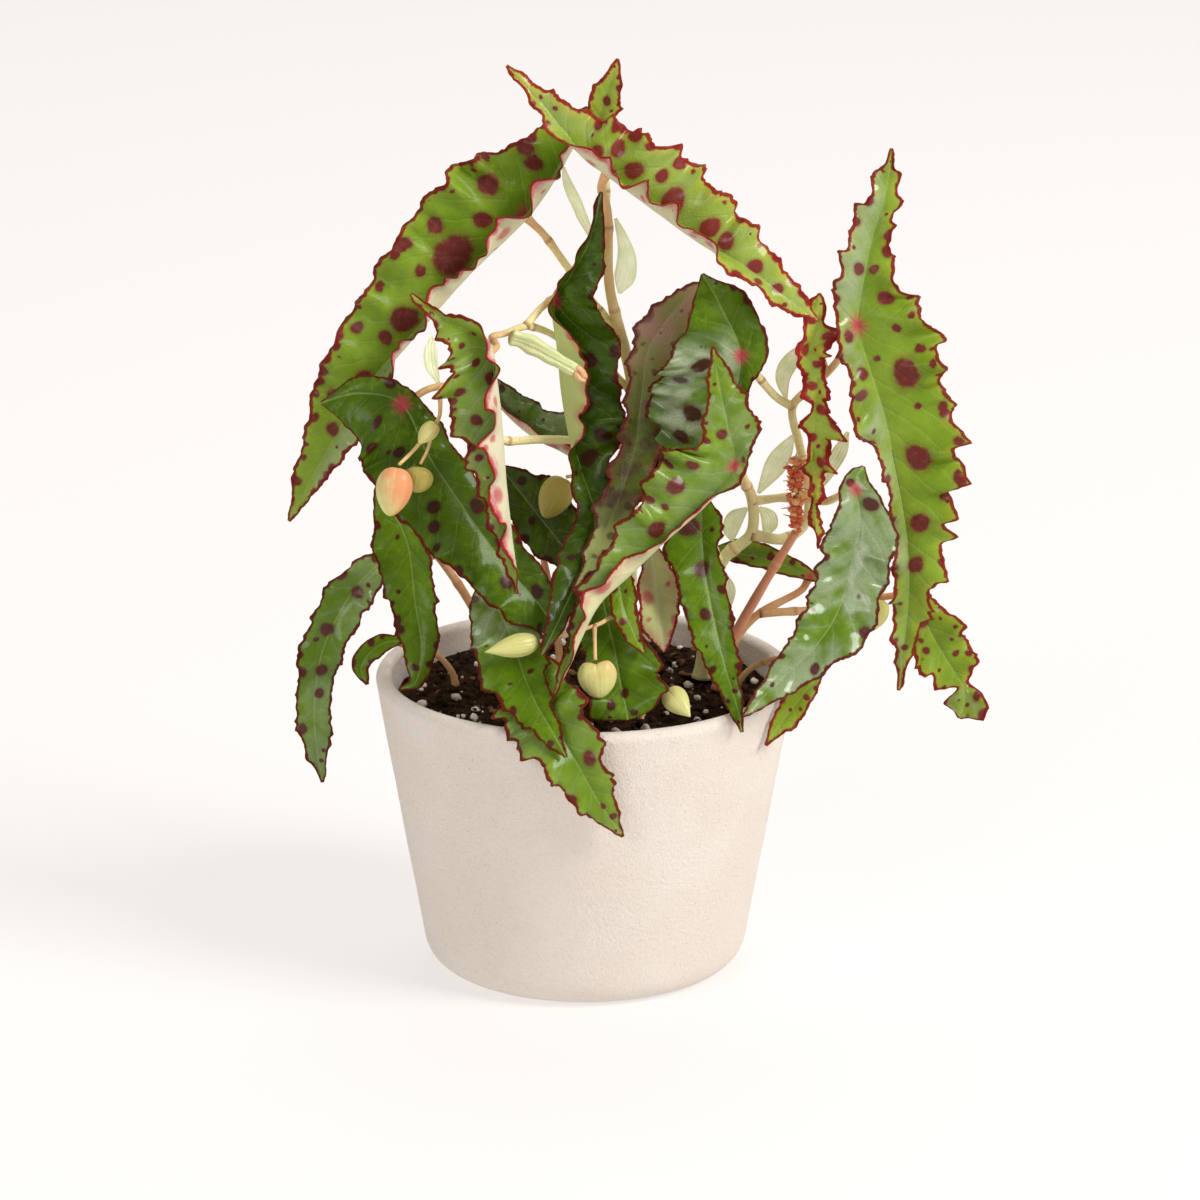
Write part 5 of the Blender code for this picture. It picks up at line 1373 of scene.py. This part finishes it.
class BegoniaSizes(bpy.types.PropertyGroup):
    """Sizes of the fine surfaces, in millimetres, and counts of small pieces."""
    thickness: amount("Blade thickness", "Thickness of a leaf blade, in mm", 0.9)
    bract_thickness: amount("Bract thickness", "Thickness of a papery bract, in mm", 0.45)
    tooth_scale: amount("Teeth", "Height of the leaf teeth against their usual height", 1.0)
    ruffle_scale: amount("Ruffles", "Height of the waves along a leaf's margin", 1.0)
    vein_spacing: amount("Vein spacing", "Distance between side veins along the midrib, in mm", 8.5)
    joint_spacing: amount("Joint spacing", "Distance between the swollen joints of a cane, in mm", 27.0)
    cane_scale: amount("Cane girth", "Radius of the canes against that of their solids", 0.9)
    cane_sides: IntProperty(name="Cane sides", description="Faces round a cane", default=18, min=6)
    scales: IntProperty(name="Flower scales", description="Pointed scales of the cluster", default=96)
    threads: IntProperty(name="Flower threads", description="Curled threads of the cluster", default=26)
    pot_foot_radius: amount("Foot radius", "Radius of the wall's line at the ground, in mm", 48.4)
    pot_slope: amount("Wall slope", "Radius that the wall gains for each mm of height", 0.1775)
    pot_foot: amount("Foot rounding", "Radius of the rounded foot, in mm", 10.0)
    pot_wall: amount("Wall", "Thickness of the pot's wall, in mm", 5.0)
    pot_floor: amount("Pot floor", "Thickness of the pot's floor, in mm", 6.0)
    pot_sides: IntProperty(name="Pot sides", description="Faces round the pot", default=192, min=48)
    soil_radius: amount("Soil radius", "Radius of the soil at its top, in mm", 58.2)
    soil_foot: amount("Soil foot radius", "Radius of the soil on the pot's floor, in mm", 43.8)
    soil_sink: amount("Soil sink", "How far the soil lies lower at the wall, in mm", 1.4)
    perlite: IntProperty(name="Perlite", description="White mineral grains on the soil", default=150)
    bark: IntProperty(name="Bark", description="Tan bark flakes on the soil", default=130)
    crumbs: IntProperty(name="Crumbs", description="Dark crumbs on the soil", default=520)


class BegoniaColours(bpy.types.PropertyGroup):
    """Colours of the plant, the soil and the pot."""
    # Also the colour of the painted shadow patches on the upper side
    dark_green: shade("Dark green", "Oldest leaves", 0.026, 0.055, 0.001)
    green: shade("Green", "Grown leaves", 0.105, 0.2, 0.0015)
    # The leaves' own paler mottle, and painted light on the raised panels between the veins
    fresh_green: shade("Fresh green", "Raised skin between the veins", 0.2, 0.34, 0.02)
    lime_green: shade("Lime green", "Young leaves", 0.37, 0.47, 0.065)
    vein: shade("Vein", "Veins of the upper side", 0.36, 0.44, 0.13)
    # Painted sheen: the grey highlight and fine glints painted on the leaves' upper side
    bloom: shade("Bloom", "Grey waxy bloom", 0.38, 0.44, 0.29)
    warm: shade("Warm edge", "Yellow flush of young margins", 0.55, 0.42, 0.05)
    maroon: shade("Maroon", "Spots of grown leaves", 0.04, 0.009, 0.004)
    maroon_light: shade("Light maroon", "Spots of lighter leaves", 0.135, 0.014, 0.016)
    crimson: shade("Crimson", "Spots of young leaves", 0.27, 0.016, 0.022)
    spot_ring: shade("Spot veil", "Paler clouds in the spots", 0.24, 0.07, 0.055)
    star: shade("Star", "Red star over the petiole", 0.46, 0.03, 0.065)
    margin: shade("Margin", "Dark red edge of grown leaves", 0.1, 0.008, 0.005)
    margin_young: shade("Young margin", "Red edge of young leaves", 0.26, 0.014, 0.012)
    # Partly the underside's own pink grey, partly a painted sheen on the bronze leaf's upper part
    bronze_pink: shade("Bronze pink", "Upper part of the bronze underside", 0.27, 0.155, 0.1)
    bronze_dark: shade("Bronze dark", "Lower part of the bronze underside", 0.062, 0.034, 0.006)
    under_cream: shade("Cream underside", "Pale undersides", 0.70, 0.62, 0.47)
    under_green: shade("Green underside", "Green undersides", 0.52, 0.6, 0.2)
    under_pink: shade("Pink underside", "Flush of the undersides", 0.58, 0.12, 0.16)
    under_vein: shade("Underside vein", "Raised veins of the underside", 0.74, 0.66, 0.46)
    under_spot: shade("Underside spot", "Blotches of the underside", 0.50, 0.06, 0.10)
    bract_cream: shade("Bract cream", "Papery bracts", 0.86, 0.87, 0.66)
    bract_green: shade("Bract green", "Fresh part of the bracts", 0.68, 0.78, 0.46)
    bract_vein: shade("Bract vein", "Veins and edges of the bracts", 0.7, 0.6, 0.34)
    cane: shade("Cane", "Thick canes", 0.77, 0.77, 0.38)
    young_cane: shade("Young cane", "Thin canes and petioles", 0.86, 0.75, 0.38)
    cane_blush: shade("Cane blush", "Reddish skin near the leaves", 0.72, 0.42, 0.19)
    cane_fleck: shade("Cane fleck", "Fine dark flecks", 0.42, 0.22, 0.09)
    petiole: shade("Petiole", "Reddish petioles from the soil", 0.54, 0.24, 0.1)
    stalk: shade("Pink stalk", "Flower stalk", 0.62, 0.23, 0.13)
    stalk_pale: shade("Pale stalk", "Lit part of the flower stalk", 0.74, 0.38, 0.21)
    bud_cream: shade("Bud cream", "Buds", 0.64, 0.63, 0.24)
    bud_green: shade("Bud green", "Green buds", 0.42, 0.35, 0.06)
    bud_vein: shade("Bud vein", "Veins of the buds", 0.6, 0.42, 0.14)
    bud_blush: shade("Bud blush", "Pink flush of the buds", 0.8, 0.27, 0.13)
    scar: shade("Scar", "Brown end of the capsule", 0.16, 0.06, 0.02)
    cluster_red: shade("Flower red", "Dark scales of the cluster", 0.66, 0.11, 0.045)
    cluster_orange: shade("Flower orange", "Bright scales of the cluster", 0.9, 0.46, 0.17)
    cluster_pale: shade("Flower pale", "Foot of some scales", 0.88, 0.66, 0.36)
    pot_cream: shade("Pot cream", "Off-white clay", 0.83, 0.755, 0.68)
    pot_warm: shade("Pot warm", "Warmer clouds of the clay", 0.8, 0.715, 0.635)
    pot_grain: shade("Pot grain", "Fine grain and pinholes", 0.5, 0.43, 0.36)
    pot_speck: shade("Pot speck", "Faint specks", 0.30, 0.25, 0.20)
    soil_dark: shade("Soil dark", "Damp compost", 0.008, 0.0038, 0.0016)
    soil_brown: shade("Soil brown", "Fibres of the compost", 0.045, 0.022, 0.01)
    perlite_white: shade("Perlite", "White grains", 0.93, 0.9, 0.85)
    perlite_grey: shade("Stained perlite", "Grains with soil on them", 0.42, 0.33, 0.24)
    bark_tan: shade("Bark tan", "Light bark flakes", 0.20, 0.10, 0.045)
    bark_dark: shade("Bark dark", "Dark bark flakes", 0.045, 0.022, 0.01)


class BegoniaStage(bpy.types.PropertyGroup):
    """Floor, lights and camera."""
    floor_colour: shade("Floor", "Pale floor", 0.38, 0.367, 0.357)
    floor_glow: amount("Floor glow", "Strength of the floor's own light", 0.59)
    world_strength: amount("World strength", "Strength of the surrounding light", 0.4)
    key_power: FloatProperty(name="Key light", description="Power of the large light on the right",
                             unit="POWER", default=56.0)
    fill_power: FloatProperty(name="Fill light", description="Power of the light on the left",
                              unit="POWER", default=10.5)
    top_power: FloatProperty(name="Top light", description="Power of the light above and behind",
                             unit="POWER", default=13.0)
    camera_pitch: FloatProperty(name="Camera pitch", description="How far the camera looks down",
                                subtype="ANGLE", default=math.radians(17.4))
    camera_distance: FloatProperty(name="Camera distance", description="From the camera to its target",
                                   subtype="DISTANCE", default=2.0)
    camera_target: FloatVectorProperty(name="Camera target", description="Point at the picture's centre",
                                       subtype="TRANSLATION", size=3, default=(0.0046, 0.0, 0.1163))
    camera_lens: FloatProperty(name="Lens", description="Focal length in millimetres", default=194.8)


class Choices:
    """Sizes and colours of the scene, read by name."""

    def __init__(self, scene):
        self.groups = (scene.begonia_sizes, scene.begonia_colours)

    def __getattr__(self, name):
        for group in self.groups:
            if hasattr(group, name):
                return getattr(group, name)
        raise AttributeError(name)


class BEGONIA_OT_leaves(bpy.types.Operator):
    """Make every leaf as a toothed, ruffled blade"""
    bl_idname = "begonia.leaves"
    bl_label = "Leaves"

    def execute(self, context):
        look = Choices(context.scene)
        upper, under, bronze = leaf_upper(look), leaf_under(look), leaf_bronze(look)
        for name, leaf in LEAVES.items():
            skins = {"upper": [upper, under], "under": [under, upper], "bronze": [bronze, upper]}[leaf.face]
            blade(name, leaf, skins, look, look.thickness)
        return {"FINISHED"}


class BEGONIA_OT_bracts(bpy.types.Operator):
    """Make the dry papery bracts"""
    bl_idname = "begonia.bracts"
    bl_label = "Bracts"

    def execute(self, context):
        look = Choices(context.scene)
        paper = bract_paper(look)
        for name, rows in BRACTS.items():
            leaf = Leaf(rows, tooth=0.0, ruffle=0.45, freckles=0, star=0)
            blade(name, leaf, [paper, paper], look, look.bract_thickness)
        return {"FINISHED"}


class BEGONIA_OT_canes(bpy.types.Operator):
    """Make the canes, petioles and stalks"""
    bl_idname = "begonia.canes"
    bl_label = "Canes and petioles"

    def execute(self, context):
        look = Choices(context.scene)
        skin = cane_skin("cane_skin", look.cane, look.young_cane, look.cane_blush, look.cane_fleck)
        pink = cane_skin("stalk_skin", look.stalk_pale, look.stalk, look.stalk, look.cane_blush)
        petiole = cane_skin("petiole_skin", look.young_cane, look.petiole, look.petiole, look.cane_fleck)
        for name, shoots in CANES.items():
            slot, material = "cane_tan", petiole if name.startswith("petiole") else skin
            if name == "flower_stalk":
                slot, material = "stalk_pink", pink
            shoots_piece(name, shoots, material, look, slot)
        return {"FINISHED"}


class BEGONIA_OT_buds(bpy.types.Operator):
    """Make the buds, the long capsule and the flower cluster"""
    bl_idname = "begonia.buds"
    bl_label = "Buds and flowers"

    def execute(self, context):
        look = Choices(context.scene)
        skin = bud_skin(look)
        for name, shape in BUDS.items():
            bud_piece(name, *shape, skin, "bud_blush" if name == "bud_left_pink" else "bud_lime")
        capsule_piece(look, "capsule_pale")
        cluster_piece(look, "cluster_red")
        return {"FINISHED"}


class BEGONIA_OT_pot(bpy.types.Operator):
    """Make the pot"""
    bl_idname = "begonia.pot"
    bl_label = "Pot"

    def execute(self, context):
        pot_piece(Choices(context.scene), "pot_clay")
        return {"FINISHED"}


class BEGONIA_OT_soil(bpy.types.Operator):
    """Make the soil with its perlite, bark flakes and crumbs"""
    bl_idname = "begonia.soil"
    bl_label = "Soil"

    def execute(self, context):
        look = Choices(context.scene)
        soil_piece(look, "potting_soil")
        white = grain_skin("perlite_skin", look.perlite_grey, look.perlite_white, 0.85, 0.25)
        tan = grain_skin("bark_skin", look.bark_dark, look.bark_tan, 0.8, 0.35)
        dark = grain_skin("crumb_skin", look.soil_dark, look.soil_brown, 0.95, 0.4)
        for name, count, material, seed, low, high, flatness, lump, lift in (
                ("perlite_grains", look.perlite, white, 21, 0.35, 1.7, (0.6, 0.95), 0.26, 0.45),
                ("bark_flakes", look.bark, tan, 22, 0.7, 2.8, (0.2, 0.45), 0.16, 0.35),
                ("soil_crumbs", look.crumbs, dark, 23, 0.5, 1.9, (0.6, 0.95), 0.2, 0.3)):
            grain_piece(name, count, low, high, flatness, lump, lift, material, seed, look)
        return {"FINISHED"}


class BEGONIA_OT_stage(bpy.types.Operator):
    """Set up the floor, the lights and the camera"""
    bl_idname = "begonia.stage"
    bl_label = "Stage"

    def execute(self, context):
        scene, stage = context.scene, context.scene.begonia_stage
        scene.view_settings.view_transform = "Standard"
        graph = Graph("floor_paper", 0.9, Specular_IOR_Level=0.1, Emission_Color=FLOOR_LIGHT,
                      Emission_Strength=stage.floor_glow)
        cloud = graph.noise(0.01, 2)
        colour = graph.mix(cloud * 0.1, stage.floor_colour, FLOOR_CLOUD)
        mesh = bpy.data.meshes.new("floor")
        corners = ((-1, -1), (1, -1), (1, 1), (-1, 1))
        mesh.from_pydata([(x * FLOOR_REACH, y * FLOOR_REACH, 0) for x, y in corners], [], [(0, 1, 2, 3)])
        mesh.materials.append(graph.finish(colour))
        floor = bpy.data.objects.new("floor", mesh)
        scene.collection.objects.link(floor)

        world = bpy.data.worlds.new("studio_air")
        world.use_nodes = True
        background = world.node_tree.nodes["Background"]
        background.inputs["Color"].default_value = AIR_COLOUR
        background.inputs["Strength"].default_value = stage.world_strength
        scene.world = world
        for name, (place, size) in LAMPS.items():
            lamp = bpy.data.lights.new(name + "_light", "AREA")
            lamp.shape, lamp.size, lamp.color = "DISK", size, LAMP_COLOUR
            lamp.energy = getattr(stage, name + "_power")
            light = bpy.data.objects.new(name + "_light", lamp)
            light.location = place
            light.rotation_euler = (LAMP_TARGET - Vector(place)).to_track_quat("-Z", "Y").to_euler()
            scene.collection.objects.link(light)

        lens = bpy.data.cameras.new("camera")
        lens.lens, lens.sensor_width = stage.camera_lens, 36.0
        lens.clip_start, lens.clip_end = 0.1, 50.0
        camera = bpy.data.objects.new("camera", lens)
        forward = Vector((0.0, math.cos(stage.camera_pitch), -math.sin(stage.camera_pitch)))
        camera.location = Vector(stage.camera_target) - forward * stage.camera_distance
        camera.rotation_euler = forward.to_track_quat("-Z", "Y").to_euler()
        scene.collection.objects.link(camera)
        scene.camera = camera
        return {"FINISHED"}


OPERATORS = (BEGONIA_OT_pot, BEGONIA_OT_soil, BEGONIA_OT_canes, BEGONIA_OT_leaves, BEGONIA_OT_bracts,
             BEGONIA_OT_buds, BEGONIA_OT_stage)


class BEGONIA_PT_panel(bpy.types.Panel):
    """Buttons for the pieces of the begonia"""
    bl_label = "Potted Begonia"
    bl_idname = "BEGONIA_PT_panel"
    bl_space_type = "VIEW_3D"
    bl_region_type = "UI"
    bl_category = "Begonia"

    def draw(self, context):
        for operator in OPERATORS:
            self.layout.operator(operator.bl_idname)


GROUPS = {"begonia_sizes": BegoniaSizes, "begonia_colours": BegoniaColours, "begonia_stage": BegoniaStage}


def register():
    for cls in (*GROUPS.values(), *OPERATORS, BEGONIA_PT_panel):
        bpy.utils.register_class(cls)
    for name, group in GROUPS.items():
        setattr(bpy.types.Scene, name, PointerProperty(type=group))


def unregister():
    for name in GROUPS:
        delattr(bpy.types.Scene, name)
    for cls in (BEGONIA_PT_panel, *reversed(OPERATORS), *reversed(GROUPS.values())):
        bpy.utils.unregister_class(cls)


def main():
    register()
    for make in (bpy.ops.begonia.pot, bpy.ops.begonia.soil, bpy.ops.begonia.canes, bpy.ops.begonia.leaves,
                 bpy.ops.begonia.bracts, bpy.ops.begonia.buds, bpy.ops.begonia.stage):
        make()


if __name__ == "__main__":
    main()
